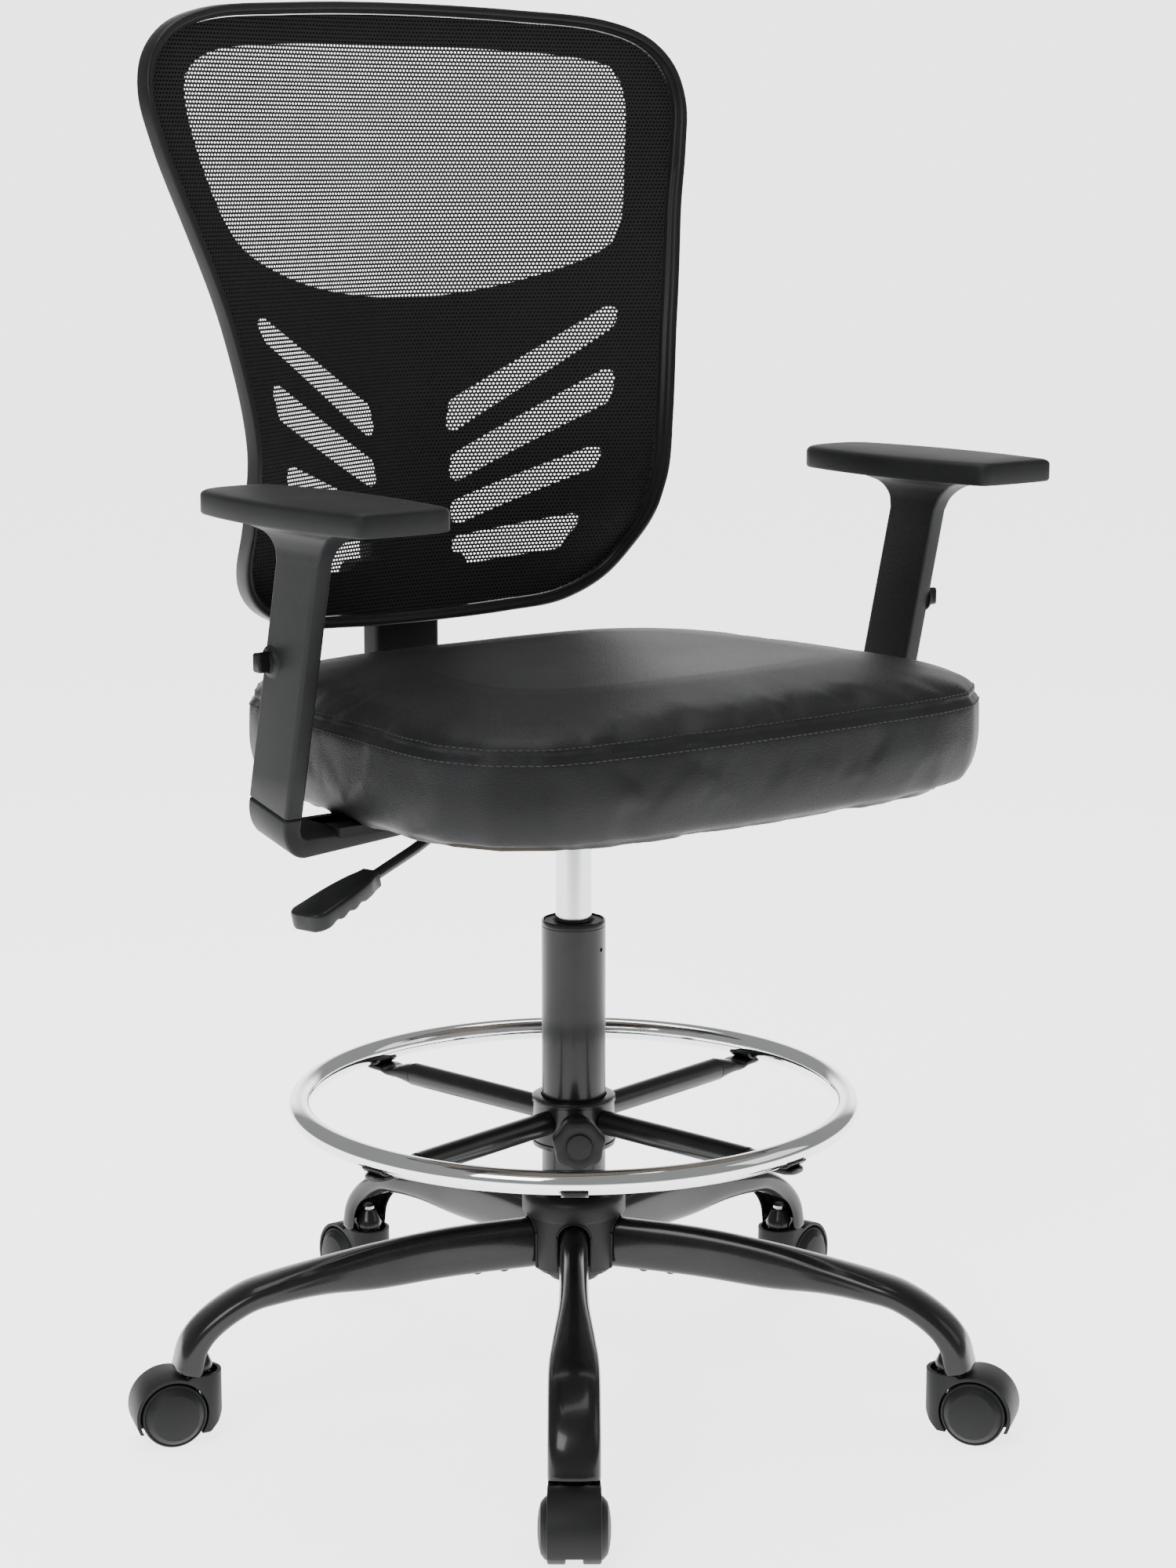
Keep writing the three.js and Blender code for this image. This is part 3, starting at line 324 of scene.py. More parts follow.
def screw_head(name, radius=0.004, high=0.002):
    """A button head with a hexagon socket, standing on Z = 0."""
    head = lathe(name, [(0.0, 0.0), (radius, 0.0), (radius * 0.97, high * 0.45), (radius * 0.75, high * 0.9),
                        (radius * 0.5, high), (0.0, high)], 32)
    socket = prism("socket", rounded(radius * 0.45, radius * 0.45, 2, 6), high)
    return cut(head, moved(socket, Matrix.Translation((0, 0, high * 0.35))))


# %% [markdown]
# ## Shader maths as Python
#
# A finish is a small formula over the surface. Wrapping a socket in a class lets the formula be written as
# one, with + and * instead of a chain of node calls, and the nodes are added behind the scenes.

# %% The socket wrapper
class Value:
    """A number that varies over a surface: a shader socket with the usual operators."""

    def __init__(self, finish, link):
        self.finish = finish
        self.link = link

    def _math(self, operation, *others):
        inputs = {0: self, **{n + 1: other for n, other in enumerate(others)}}
        return self.finish.node("ShaderNodeMath", {"operation": operation}, inputs)

    def _flipped(self, operation, other):
        return self.finish.node("ShaderNodeMath", {"operation": operation}, {0: other, 1: self})

    def __add__(self, other):
        return self._math("ADD", other)

    def __sub__(self, other):
        return self._math("SUBTRACT", other)

    def __mul__(self, other):
        return self._math("MULTIPLY", other)

    def __truediv__(self, other):
        return self._math("DIVIDE", other)

    def __rsub__(self, other):
        return self._flipped("SUBTRACT", other)

    def __pow__(self, other):
        return self._math("POWER", other)

    def floor(self):
        return self._math("FLOOR")

    def part(self):
        """What is left after the whole number."""
        return self._math("FRACT")

    def least(self, other):
        """The smaller of the two."""
        return self._math("MINIMUM", other)

    def between(self, low, high):
        """0 below low, 1 above high, and smooth in between."""
        settings = {"interpolation_type": "SMOOTHSTEP"}
        inputs = {"Value": self, "From Min": low, "From Max": high}
        return self.finish.node("ShaderNodeMapRange", settings, inputs)


class Finish:
    """One material: its nodes, and the Principled shader that they feed."""

    def __init__(self, name, **constants):
        self.material = bpy.data.materials.new(name)
        self.material.use_nodes = True
        self.tree = self.material.node_tree
        self.shader = self.tree.nodes["Principled BSDF"]
        for socket, value in constants.items():
            self.shader.inputs[socket.replace("_", " ")].default_value = value

    def node(self, kind, settings=None, inputs=None, output=0):
        """Adds any node: its settings first, then the values or links of its sockets."""
        made = self.tree.nodes.new(kind)
        for key, value in (settings or {}).items():
            if key == "stops":
                self._set_stops(made, value)
            else:
                setattr(made, key, value)
        for key, value in (inputs or {}).items():
            self._feed(made.inputs[key], value)
        return Value(self, made.outputs[output])

    def _set_stops(self, made, stops):
        elements = made.color_ramp.elements
        while len(elements) < len(stops):
            elements.new(0.5)
        for element, (place, color) in zip(elements, stops):
            element.position = place
            element.color = (*color, 1)

    def _feed(self, socket, value):
        if isinstance(value, Value):
            self.tree.links.new(value.link, socket)
        else:
            socket.default_value = value

    def set(self, **inputs):
        for socket, value in inputs.items():
            self._feed(self.shader.inputs[socket.replace("_", " ")], value)
        return self

    def place(self, name=None):
        """Where a point is: the piece's own coordinates, or a stored set of them."""
        if name:
            return self.node("ShaderNodeAttribute", {"attribute_name": name}, output=1)
        return self.node("ShaderNodeTexCoord", output=3)

    def noise(self, scale, detail=2.0, rough=0.5, where=None):
        inputs = {"Vector": where or self.place(), "Scale": scale, "Detail": detail, "Roughness": rough}
        return self.node("ShaderNodeTexNoise", {}, inputs)

    def cells(self, scale, feature="F1", where=None, randomness=1.0):
        inputs = {"Vector": where or self.place(), "Scale": scale, "Randomness": randomness}
        return self.node("ShaderNodeTexVoronoi", {"feature": feature}, inputs)

    def color_mix(self, mask, first, second):
        settings = {"data_type": "RGBA"}
        return self.node("ShaderNodeMix", settings, {0: mask, 6: (*first, 1), 7: (*second, 1)}, output=2)

    def bump(self, height, strength, distance):
        inputs = {"Height": height, "Strength": strength, "Distance": distance}
        return self.set(Normal=self.node("ShaderNodeBump", {}, inputs))


# %% [markdown]
# ## Metals and paints
#
# The base, the column and the spokes are steel with black paint. Paint is not a flat black: it has a faint
# orange-peel ripple, and dust and handling change how sharp its reflections are. Noise at two scales does
# both. Chrome is nearly a mirror, so what makes it real is the slight waviness of the plated tube.

# %% Paint, chrome and bare steel
def painted(name, color, roughness, ripple):
    finish = Finish(name, IOR=1.5, Coat_Roughness=0.1, Specular_IOR_Level=0.2)
    cloud = finish.noise(9.0, 3.0)
    finish.set(Roughness=(cloud - 0.5) * 0.12 + roughness, Coat_Weight=(cloud * 0.2 + 0.08))
    lighter = tuple(c * 1.35 for c in color)
    finish.set(Base_Color=finish.color_mix(finish.noise(60.0, 2.0).between(0.3, 0.8), color, lighter))
    return finish.bump(finish.noise(420.0, 2.0), ripple, 0.0004).material


def plated(name, color, roughness, waviness):
    finish = Finish(name, Metallic=1.0)
    wear = finish.noise(35.0, 4.0)
    finish.set(Roughness=wear * 0.06 + roughness)
    darker = tuple(c * 0.86 for c in color)
    finish.set(Base_Color=finish.color_mix(finish.noise(6.0, 2.0).between(0.35, 0.75), color, darker))
    return finish.bump(finish.noise(70.0, 1.0), waviness, 0.0006).material


black_paint = painted("black_gloss_paint", (0.007, 0.0072, 0.0077), 0.24, 0.05)
column_paint = painted("black_satin_paint", (0.007, 0.0072, 0.0076), 0.33, 0.08)
chrome = plated("chrome_plate", (0.80, 0.81, 0.82), 0.03, 0.03)
lift_steel = plated("ground_lift_steel", (0.70, 0.71, 0.72), 0.13, 0.02)
bare_steel = plated("bare_steel", (0.55, 0.56, 0.57), 0.22, 0.05)
print("metals and paints made")

# %% [markdown]
# ## Moulded plastic
#
# The arms and the back's rim come from moulds with an etched grain. Up close it is a field of tiny soft
# pits; from a distance it only breaks up the reflections. Small Voronoi cells give the pits, and a slow noise
# varies the gloss where hands polish the plastic.

# %% Plastics
def moulded(name, color, roughness, grain_scale, grain_depth):
    finish = Finish(name, IOR=1.47, Specular_IOR_Level=0.18)
    cloud = finish.noise(14.0, 3.0)
    finish.set(Roughness=(cloud - 0.5) * 0.16 + roughness)
    lighter = tuple(c * 1.22 for c in color)
    finish.set(Base_Color=finish.color_mix(finish.noise(28.0, 4.0).between(0.3, 0.75), color, lighter))
    pits = finish.cells(grain_scale).between(0.05, 0.55)
    return finish.bump(pits + finish.noise(grain_scale * 0.5, 2.0) * 0.6, grain_depth, 0.00025).material


arm_plastic = moulded("etched_grey_plastic", (0.0115, 0.0119, 0.0125), 0.50, 900.0, 0.22)
pad_plastic = moulded("soft_arm_pad", (0.0105, 0.0109, 0.0115), 0.56, 700.0, 0.18)
frame_plastic = moulded("back_rim_plastic", (0.009, 0.0093, 0.0098), 0.42, 900.0, 0.15)
spine_plastic = moulded("glass_filled_nylon", (0.013, 0.0134, 0.014), 0.46, 800.0, 0.2)
caster_nylon = moulded("caster_nylon", (0.0095, 0.0098, 0.0104), 0.52, 800.0, 0.2)
cover_plastic = moulded("hub_cover_plastic", (0.0085, 0.0088, 0.0093), 0.44, 900.0, 0.15)
gloss_black = moulded("gloss_black_plastic", (0.006, 0.006, 0.0065), 0.16, 300.0, 0.03)
paddle_plastic = moulded("lever_paddle_plastic", (0.011, 0.0115, 0.012), 0.30, 700.0, 0.1)
print("plastics made")

# %% [markdown]
# ## The base: legs
#
# Each leg is a pressed tube: tall and narrow at the hub, wide and low at the toe, where it turns down to the
# caster and opens into a channel. One loft with a changing section follows that pressing. Each section is
# left open on the underside by a growing gap towards the toe, and a Solidify step then gives the sheet its
# real wall, so that the channel's lips and the cone that holds the caster show.

# %% Leg sections
leg_low, leg_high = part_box("base_leg_1")
sleeve_low, sleeve_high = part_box("hub_sleeve")
hub_radius = (sleeve_high.x - sleeve_low.x) / 2
toe_height = leg_low.z
LEG_DEPTH = 40 * MM
LEG_WIDTH = 22 * MM
TOE_WIDTH = 38 * MM
LEG_WALL = 2 * MM
leg_middle = leg_high.z - LEG_DEPTH / 2
shoulder = stem_circle - 98 * MM
MOUTH_FROM = 0.74
MOUTH_FULL = 0.90
MOUTH_OPEN = 0.30


def leg_line():
    """The leg's centre line as (distance from the axis, height, depth, width)."""
    start = hub_radius + 0.9 * MM
    run = shoulder - start
    return [
        (start, leg_middle, LEG_DEPTH, LEG_WIDTH),
        (start + 0.4 * run, leg_middle - 1.5 * MM, LEG_DEPTH - 1 * MM, LEG_WIDTH),
        (start + 0.74 * run, leg_middle - 6.5 * MM, LEG_DEPTH - 4 * MM, LEG_WIDTH + 2 * MM),
        (shoulder, leg_middle - 10 * MM, 27 * MM, 31 * MM),
        (stem_circle - 62 * MM, 113 * MM, 22 * MM, TOE_WIDTH - 1 * MM),
        (stem_circle - 38 * MM, 107 * MM, 20 * MM, TOE_WIDTH),
        (stem_circle - 13 * MM, toe_height + 37 * MM, 20 * MM, TOE_WIDTH),
        (stem_circle + 2 * MM, toe_height + 20 * MM, 22 * MM, TOE_WIDTH),
        (stem_circle + 7.5 * MM, toe_height, 24 * MM, TOE_WIDTH),
    ]


def leg_station(here, ahead, depth, width, gap):
    """One section, opened by gap (a share of the way round) on the underside."""
    down = Vector((ahead.y, -ahead.x))
    ring = []
    count = 40
    for i in range(count + 1):
        turn = 2 * math.pi * (gap / 2 + (1 - gap) * i / count)
        c, s = math.cos(turn), math.sin(turn)
        a = (depth / 2) * math.copysign(abs(c) ** 0.72, c)
        b = (width / 2) * math.copysign(abs(s) ** 0.72, s)
        flat = here + down * a
        ring.append(Vector((flat.x, b, flat.y)))
    return ring


def leg_mesh():
    line = smooth_path([Vector(p) for p in leg_line()], 90)
    rings = []
    for i, point in enumerate(line):
        before, after = line[max(i - 1, 0)], line[min(i + 1, len(line) - 1)]
        ahead = Vector((after[0] - before[0], after[1] - before[1])).normalized()
        share = i / (len(line) - 1)
        opening = min(max((share - MOUTH_FROM) / (MOUTH_FULL - MOUTH_FROM), 0), 1)
        gap = MOUTH_OPEN * (3 * opening ** 2 - 2 * opening ** 3)
        rings.append(leg_station(Vector((point[0], point[1])), ahead, point[2], point[3], gap))
    sheet = loft("leg", rings, closed=False)
    wall = sheet.modifiers.new("wall", "SOLIDIFY")
    wall.thickness = LEG_WALL
    wall.offset = -1
    wall.use_even_offset = True
    apply_modifiers(sheet)
    return bevel(tidy_mesh(sheet, 45), 0.5 * MM, 2, 50)


# %% [markdown]
# Smaller things make the leg believable: the cone that holds the caster's stem, and the two spot-weld bumps
# under the leg beside the hub.

# %% Leg details and placing
def leg_socket():
    top = toe_height + 15 * MM
    return lathe("socket", [(5.9 * MM, toe_height), (11 * MM, toe_height), (11 * MM, toe_height + 5 * MM),
                            (9.8 * MM, toe_height + 7 * MM), (7.2 * MM, top - 1 * MM), (6.6 * MM, top),
                            (5.9 * MM, top)], 40)


def weld_bump(distance):
    bump = lathe("bump", [(0, -2.4 * MM), (2.4 * MM, -2 * MM), (4.2 * MM, -0.6 * MM), (4.6 * MM, 1 * MM),
                          (0, 1 * MM)], 24)
    under = leg_middle - LEG_DEPTH / 2
    return moved(bump, Matrix.Translation((distance, 0, under)))


leg_skin = leg_mesh()
socket = moved(leg_socket(), Matrix.Translation((stem_circle, 0, 0)))
one_leg = joined("one_leg", [leg_skin, socket, weld_bump(58 * MM), weld_bump(80 * MM)])
for number, angle in zip(LEG_NUMBERS, leg_angles):
    leg = copy_of(one_leg, f"leg_{number}", about_axis(angle))
    finish_piece(leg, "base", black_paint, "black_paint", f"base_leg_{number}")
drop(one_leg)
print("legs:", len(leg_angles), "polygons each:", len(leg.data.polygons))

# %% [markdown]
# ## The hub cover
#
# A moulded skirt hides the welds. It has an arch over each leg with a raised lip, and a cap that steps out
# above them. The skirt and cap are one lathe; the arches are cut with a boolean and then edged.

# %% Hub cover
cover_low, cover_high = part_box("hub_cover")
cover_cap = (cover_high.x - cover_low.x) / 2
COVER_STEP = 3.5 * MM
cover_radius = cover_cap - COVER_STEP
COVER_WALL = 3 * MM
CAP_HEIGHT = 18 * MM
column_low, column_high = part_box("outer_column")
column_radius = (column_high.x - column_low.x) / 2
ARCH_HALF = LEG_WIDTH / 2 + 1.2 * MM
arch_top = leg_high.z + 1.5 * MM


def cover_shell():
    top, bottom, step = cover_high.z, cover_low.z, cover_high.z - CAP_HEIGHT
    inner = cover_radius - COVER_WALL
    rim = column_radius + 1 * MM
    return lathe("shell", [
        (inner, bottom), (cover_radius, bottom), (cover_radius, step - 2 * MM),
        (cover_radius + 0.6 * MM, step),
        (cover_cap - 0.8 * MM, step + 0.4 * MM), (cover_cap, step + 1.6 * MM), (cover_cap, top - 6 * MM),
        (cover_cap - 0.8 * MM, top - 3.6 * MM), (cover_cap - 2.6 * MM, top - 1.4 * MM),
        (cover_cap - 6 * MM, top - 0.3 * MM), (rim + 4 * MM, top), (rim + 1 * MM, top), (rim, top - 1 * MM),
        (rim, top - COVER_WALL), (inner, top - COVER_WALL - 2 * MM),
    ], 120)


def arch_outline(grow=0.0, count=16):
    half = ARCH_HALF + grow
    centre = arch_top - ARCH_HALF
    turns = [math.pi * i / count for i in range(count + 1)]
    curve = [(half * math.cos(t), centre + half * math.sin(t)) for t in turns]
    return [(half, cover_low.z - 6 * MM), *curve, (-half, cover_low.z - 6 * MM)]


def arch_cutter(angle):
    block = prism("arch", arch_outline(), 30 * MM)
    facing_out = Matrix(((0, 0, 1, 0), (1, 0, 0, 0), (0, 1, 0, 0), (0, 0, 0, 1)))
    return moved(block, about_axis(angle, 18 * MM) @ facing_out)


def arch_lip(angle):
    path = []
    for y, z in arch_outline(1.0 * MM)[1:-1]:
        path.append(Vector((math.sqrt(cover_radius ** 2 - y ** 2), y, z)))
    foot = cover_low.z + 1 * MM
    path.insert(0, Vector((path[0].x, path[0].y, foot)))
    path.append(Vector((path[-1].x, path[-1].y, foot)))
    lip = tube("lip", smooth_path(path, 60), 1.15 * MM, 12)
    return moved(lip, about_axis(angle))


shell = moved(cover_shell(), Matrix.Translation(axis))
shell = bevel(cut(shell, *[arch_cutter(a) for a in leg_angles]), 0.5 * MM, 2, 40)
cover = joined("hub_cover_moulding", [shell, *[arch_lip(a) for a in leg_angles]])
finish_piece(cover, "base", cover_plastic, "black_nylon", "hub_cover")
print("hub cover polygons:", len(cover.data.polygons))

# %% [markdown]
# ## Column and gas lift
#
# The outer tube is painted and ends in a rolled lip round a grey plastic bush. The lift slides in the bush
# and is ground and polished, so it gets a metal of its own. A pinhole near the top vents the tube.

# %% Column, bush and lift
VENT_ANGLE = math.radians(-69)


def column_tube():
    top, foot = column_high.z, column_low.z
    toe = column_radius - 5 * MM
    bore = column_radius - 1.6 * MM
    taper_top = sleeve_high.z
    body = lathe("column_tube", [
        (5.3 * MM, foot), (toe - 1 * MM, foot), (toe, foot + 1 * MM), (column_radius, taper_top),
        (column_radius, top - 5.2 * MM), (column_radius - 0.5 * MM, top - 4.9 * MM),
        (column_radius - 0.5 * MM, top - 4.5 * MM), (column_radius, top - 4.2 * MM),
        (column_radius, top - 1.2 * MM), (column_radius - 0.4 * MM, top - 0.3 * MM),
        (column_radius - 1.0 * MM, top),
        (bore, top - 0.4 * MM), (bore, taper_top), (toe - 2 * MM, foot + 4 * MM), (5.3 * MM, foot + 4 * MM),
    ], 96)
    hole = lathe("hole", [(0, 0), (1.7 * MM, 0), (1.7 * MM, 8 * MM), (0, 8 * MM)], 20)
    face = Matrix.Translation((column_radius - 3 * MM, 0, top - 22 * MM))
    moved(hole, Matrix.Rotation(VENT_ANGLE, 4, "Z") @ face @ quarter("Y"))
    return moved(cut(body, hole), Matrix.Translation(axis))


finish_piece(column_tube(), "base", column_paint, "column_paint", "outer_column")


def bush_ring():
    low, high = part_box("guide_bush")
    lift_low, lift_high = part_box("lift_tube")
    inner = (lift_high.x - lift_low.x) / 2 + 0.3 * MM
    outer = (high.x - low.x) / 2
    return lathe("guide_bush_ring", [
        (inner, low.z), (outer, low.z), (outer, high.z - 0.4 * MM), (outer - 0.6 * MM, high.z),
        (inner + 2.4 * MM, high.z - 0.2 * MM), (inner + 1 * MM, high.z - 1.6 * MM),
        (inner, high.z - 2.4 * MM),
    ], 72)


finish_piece(moved(bush_ring(), Matrix.Translation(axis)), "base", arm_plastic, "grey_plastic", "guide_bush")


def lift_cylinder():
    low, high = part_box("lift_tube")
    radius = (high.x - low.x) / 2
    return lathe("gas_lift", [(0, low.z), (radius - 1 * MM, low.z), (radius, low.z + 1 * MM),
                              (radius, high.z - 1 * MM), (radius - 1 * MM, high.z), (0, high.z)], 72)


finish_piece(moved(lift_cylinder(), Matrix.Translation(axis)), "lift", lift_steel, "chrome", "lift_tube")

# %% [markdown]
# ## Casters
#
# A twin-wheel caster has a hood that wraps over both wheels, with a web between them, and wheels whose outer
# faces dome. The hood is the side outline given width, with the two wheel pockets cut out and every edge
# rounded. One caster is made in its own space, with its stem on Z and its wheels behind along X, and is then
# copied to the five stems.

# %% Caster shapes
wheel_low, wheel_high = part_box("caster_wheel_1a")
hood_low, hood_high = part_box("caster_hood_1")
wheel_radius = Vector(joint("wheel_roll_1a")["pos_m"]).z
trail = (Vector(joint("wheel_roll_1a")["pos_m"]).xy - axis.xy).length - stem_circle
neck_top = hood_high.z
WEB = 10 * MM
WHEEL_TREAD = 13 * MM
WHEEL_DOME = 7 * MM
NECK_RADIUS = 18 * MM
HOOD_WALL = 2.6 * MM
HOOD_CLEAR = 1.7 * MM
hood_half = WEB / 2 + 1 * MM + WHEEL_TREAD
hood_bore = wheel_radius + HOOD_CLEAR
hood_radius = hood_bore + HOOD_WALL
TIP_ANGLE = math.radians(-24)


def hood_outline():
    arc = [TIP_ANGLE + (math.pi * 0.62 - TIP_ANGLE) * i / 28 for i in range(29)]
    over = [(trail + hood_radius * math.cos(t), wheel_radius + hood_radius * math.sin(t)) for t in arc]
    front = [(NECK_RADIUS - 10 * MM, neck_top), (-NECK_RADIUS, neck_top),
             (-NECK_RADIUS, wheel_radius - 2 * MM), (-13 * MM, 15 * MM), (-6 * MM, 9 * MM),
             (6 * MM, 8.5 * MM), (trail, 11 * MM)]
    return over + front


def hood_plan():
    arc = [math.pi / 2 + math.pi * i / 24 for i in range(25)]
    nose = [(NECK_RADIUS * math.cos(t), NECK_RADIUS * math.sin(t)) for t in arc]
    tail = trail + hood_radius + 1 * MM
    return nose + [(NECK_RADIUS - 2 * MM, -hood_half), (tail, -hood_half), (tail, hood_half),
                   (NECK_RADIUS - 2 * MM, hood_half)]


def upright(made):
    """Stands an outline drawn in X and Y up, so that its Y becomes Z and its depth runs along Y."""
    return moved(made, Matrix(((1, 0, 0, 0), (0, 0, -1, 0), (0, 1, 0, 0), (0, 0, 0, 1))))


def hood_mesh():
    width = 2 * hood_half
    hood = moved(upright(prism("hood", hood_outline(), width)), Matrix.Translation((0, width / 2, 0)))
    keep = hood.modifiers.new("plan", "BOOLEAN")
    keep.operation = "INTERSECT"
    keep.object = prism("plan", hood_plan(), 90 * MM)
    apply_modifiers(hood)
    drop(bpy.data.objects["plan"])
    cutters = []
    for side in (-1, 1):
        pocket = lathe("pocket", [(0, 0), (hood_bore, 0), (hood_bore, 40 * MM), (0, 40 * MM)], 64)
        moved(pocket, Matrix.Rotation(-side * math.pi / 2, 4, "X"))
        cutters.append(moved(pocket, Matrix.Translation((trail, side * WEB / 2, wheel_radius))))
    dish = lathe("dish", [(0, 0), (NECK_RADIUS - 3 * MM, 0), (NECK_RADIUS - 3 * MM, 9 * MM), (0, 9 * MM)], 48)
    cutters.append(moved(dish, Matrix.Translation((0, 0, neck_top - 5 * MM))))
    return bevel(cut(hood, *cutters), 1.3 * MM, 3, 40)


def wheel_mesh():
    """Axis on Z, inner face at 0."""
    r, t, d = wheel_radius, WHEEL_TREAD, WHEEL_DOME
    return lathe("wheel", [
        (0, 0), (r - 1 * MM, 0), (r, 1 * MM), (r, t - 1.4 * MM), (r - 0.5 * MM, t - 0.3 * MM),
        (r - 1.6 * MM, t + 0.3 * MM),
        (r - 2.2 * MM, t - 0.2 * MM), (r - 2.8 * MM, t + 0.4 * MM), (r - 3.6 * MM, t + 1.8 * MM),
        (r * 0.72, t + d * 0.66), (r * 0.5, t + d * 0.86), (r * 0.25, t + d * 0.97), (0, t + d),
    ], 72, 24)


def stem_mesh():
    low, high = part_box("caster_stem_1")
    radius = 5.5 * MM
    return lathe("stem", [
        (0, low.z), (radius, low.z), (radius, neck_top - 3 * MM), (radius + 4 * MM, neck_top - 3 * MM),
        (radius + 4 * MM, neck_top - 0.6 * MM), (radius + 3.4 * MM, neck_top), (radius, neck_top),
        (radius, high.z - 7 * MM), (radius - 0.8 * MM, high.z - 6.4 * MM),
        (radius - 0.8 * MM, high.z - 5 * MM), (radius, high.z - 4.4 * MM),
        (radius - 0.3 * MM, high.z - 2.4 * MM), (radius - 2 * MM, high.z - 0.6 * MM), (0, high.z),
    ], 40)


# %% Place the five casters
hood_shape, wheel_shape, stem_shape = hood_mesh(), wheel_mesh(), stem_mesh()
for number, angle in zip(LEG_NUMBERS, leg_angles):
    here = about_axis(angle, stem_circle)
    hood = copy_of(hood_shape, f"caster_{number}_hood", here)
    finish_piece(hood, f"caster_{number}", caster_nylon, "black_nylon", f"caster_hood_{number}")
    stem = copy_of(stem_shape, f"caster_{number}_stem", here)
    finish_piece(stem, f"caster_{number}", bare_steel, "bare_steel", f"caster_stem_{number}")
    for letter, side in (("a", 1), ("b", -1)):
        centre = Matrix.Translation((trail, side * (WEB / 2 + 1 * MM), wheel_radius))
        turn = Matrix.Rotation(-side * math.pi / 2, 4, "X")
        tag = f"{number}{letter}"
        wheel = copy_of(wheel_shape, f"caster_{number}_wheel_{letter}", here @ centre @ turn)
        finish_piece(wheel, f"wheel_{tag}", caster_nylon, "black_nylon", f"caster_wheel_{tag}")
drop(hood_shape, wheel_shape, stem_shape)
print("casters placed:", len(leg_angles))

# %% [markdown]
# ## Foot ring
#
# The ring is a chromed tube bent round and welded, with its joint held by a clip. Four painted spokes are
# pressed flat where they pass under it and are fixed with a screw each. The collar clamps to the column with
# a lobed knob.

# %% Ring, clip and spokes
ring_low, ring_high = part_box("foot_ring")
ring_tube = 9 * MM
ring_outer = (ring_high.x - ring_low.x) / 2
ring_radius = ring_outer - ring_tube / math.cos(math.pi / 8)
ring_height = (ring_high.z + ring_low.z) / 2
collar_low, collar_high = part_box("ring_collar")
collar_middle = (collar_low.z + collar_high.z) / 2
knob_axis = Vector(joint("ring_knob_turn")["axis"])
knob_angle = math.atan2(knob_axis.y, knob_axis.x)
collar_radius = column_radius + 8 * MM
SPOKE_COUNT = 4
SPOKE_RADIUS = 9.3 * MM
spoke_height = ring_height - 13 * MM
spoke_angles = [knob_angle + math.radians(45 + 90 * n) for n in range(SPOKE_COUNT)]

ring_line = [Vector((ring_radius * math.cos(t), ring_radius * math.sin(t), ring_height))
             for t in np.linspace(0, 2 * math.pi, 240, endpoint=False)]
ring = moved(tube("foot_ring_tube", ring_line, ring_tube, 36, closed=True), Matrix.Translation(axis))
finish_piece(ring, "ring", chrome, "chrome", "foot_ring")


def spoke_mesh():
    """A round tube pressed flat under the ring, in its own space along X."""
    flat_top = ring_height - ring_tube - 1 * MM
    press = 2.3 * MM
    stations = [
        (collar_radius + 0.3 * MM, SPOKE_RADIUS, SPOKE_RADIUS, spoke_height, 2.0),
        (ring_radius - 52 * MM, SPOKE_RADIUS, SPOKE_RADIUS, spoke_height, 2.0),
        (ring_radius - 40 * MM, SPOKE_RADIUS * 0.93, SPOKE_RADIUS * 1.04, spoke_height, 2.1),
        (ring_radius - 28 * MM, SPOKE_RADIUS * 0.62, SPOKE_RADIUS * 1.2, spoke_height + 0.4 * MM, 2.4),
        (ring_radius - 17 * MM, press * 1.3, SPOKE_RADIUS * 1.3, flat_top - press * 1.6, 3.0),
        (ring_radius - 10 * MM, press, SPOKE_RADIUS * 1.3, flat_top - press, 3.4),
        (ring_radius + 3 * MM, press, SPOKE_RADIUS * 1.2, flat_top - press, 3.4),
        (ring_radius + 8 * MM, press, SPOKE_RADIUS * 0.8, flat_top - press, 3.0),
        (ring_radius + 9 * MM, press * 0.7, SPOKE_RADIUS * 0.45, flat_top - press, 2.6),
    ]
    line = smooth_path([Vector((r, high, wide, z, s)) for r, high, wide, z, s in stations], 64)
    rings = [[Vector((p[0], b, p[3] + a)) for a, b in rounded(p[1], p[2], p[4], 32)] for p in line]
    return loft("spoke", rings)


def saddle_mesh():
    """The plate that cups the ring over a spoke's flattened end."""
    arc = [math.radians(a) for a in np.linspace(-150, -30, 17)]
    outer, inner = ring_tube + 1.7 * MM, ring_tube + 0.15 * MM
    section = [(outer, t) for t in arc] + [(inner, t) for t in arc[::-1]]
    rings = [[Vector((ring_radius + r * math.cos(t), along, ring_height + r * math.sin(t))) for r, t in section]
             for along in np.linspace(-10 * MM, 10 * MM, 9)]
    return bevel(loft("saddle", rings), 0.4 * MM, 2, 40)


def under_screw():
    head = screw_head("screw", 4.4 * MM, 2.6 * MM)
    under = Matrix.Translation((ring_radius - 3 * MM, 0, ring_height - ring_tube - 5.5 * MM))
    return moved(head, under @ Matrix.Rotation(math.pi, 4, "X"))


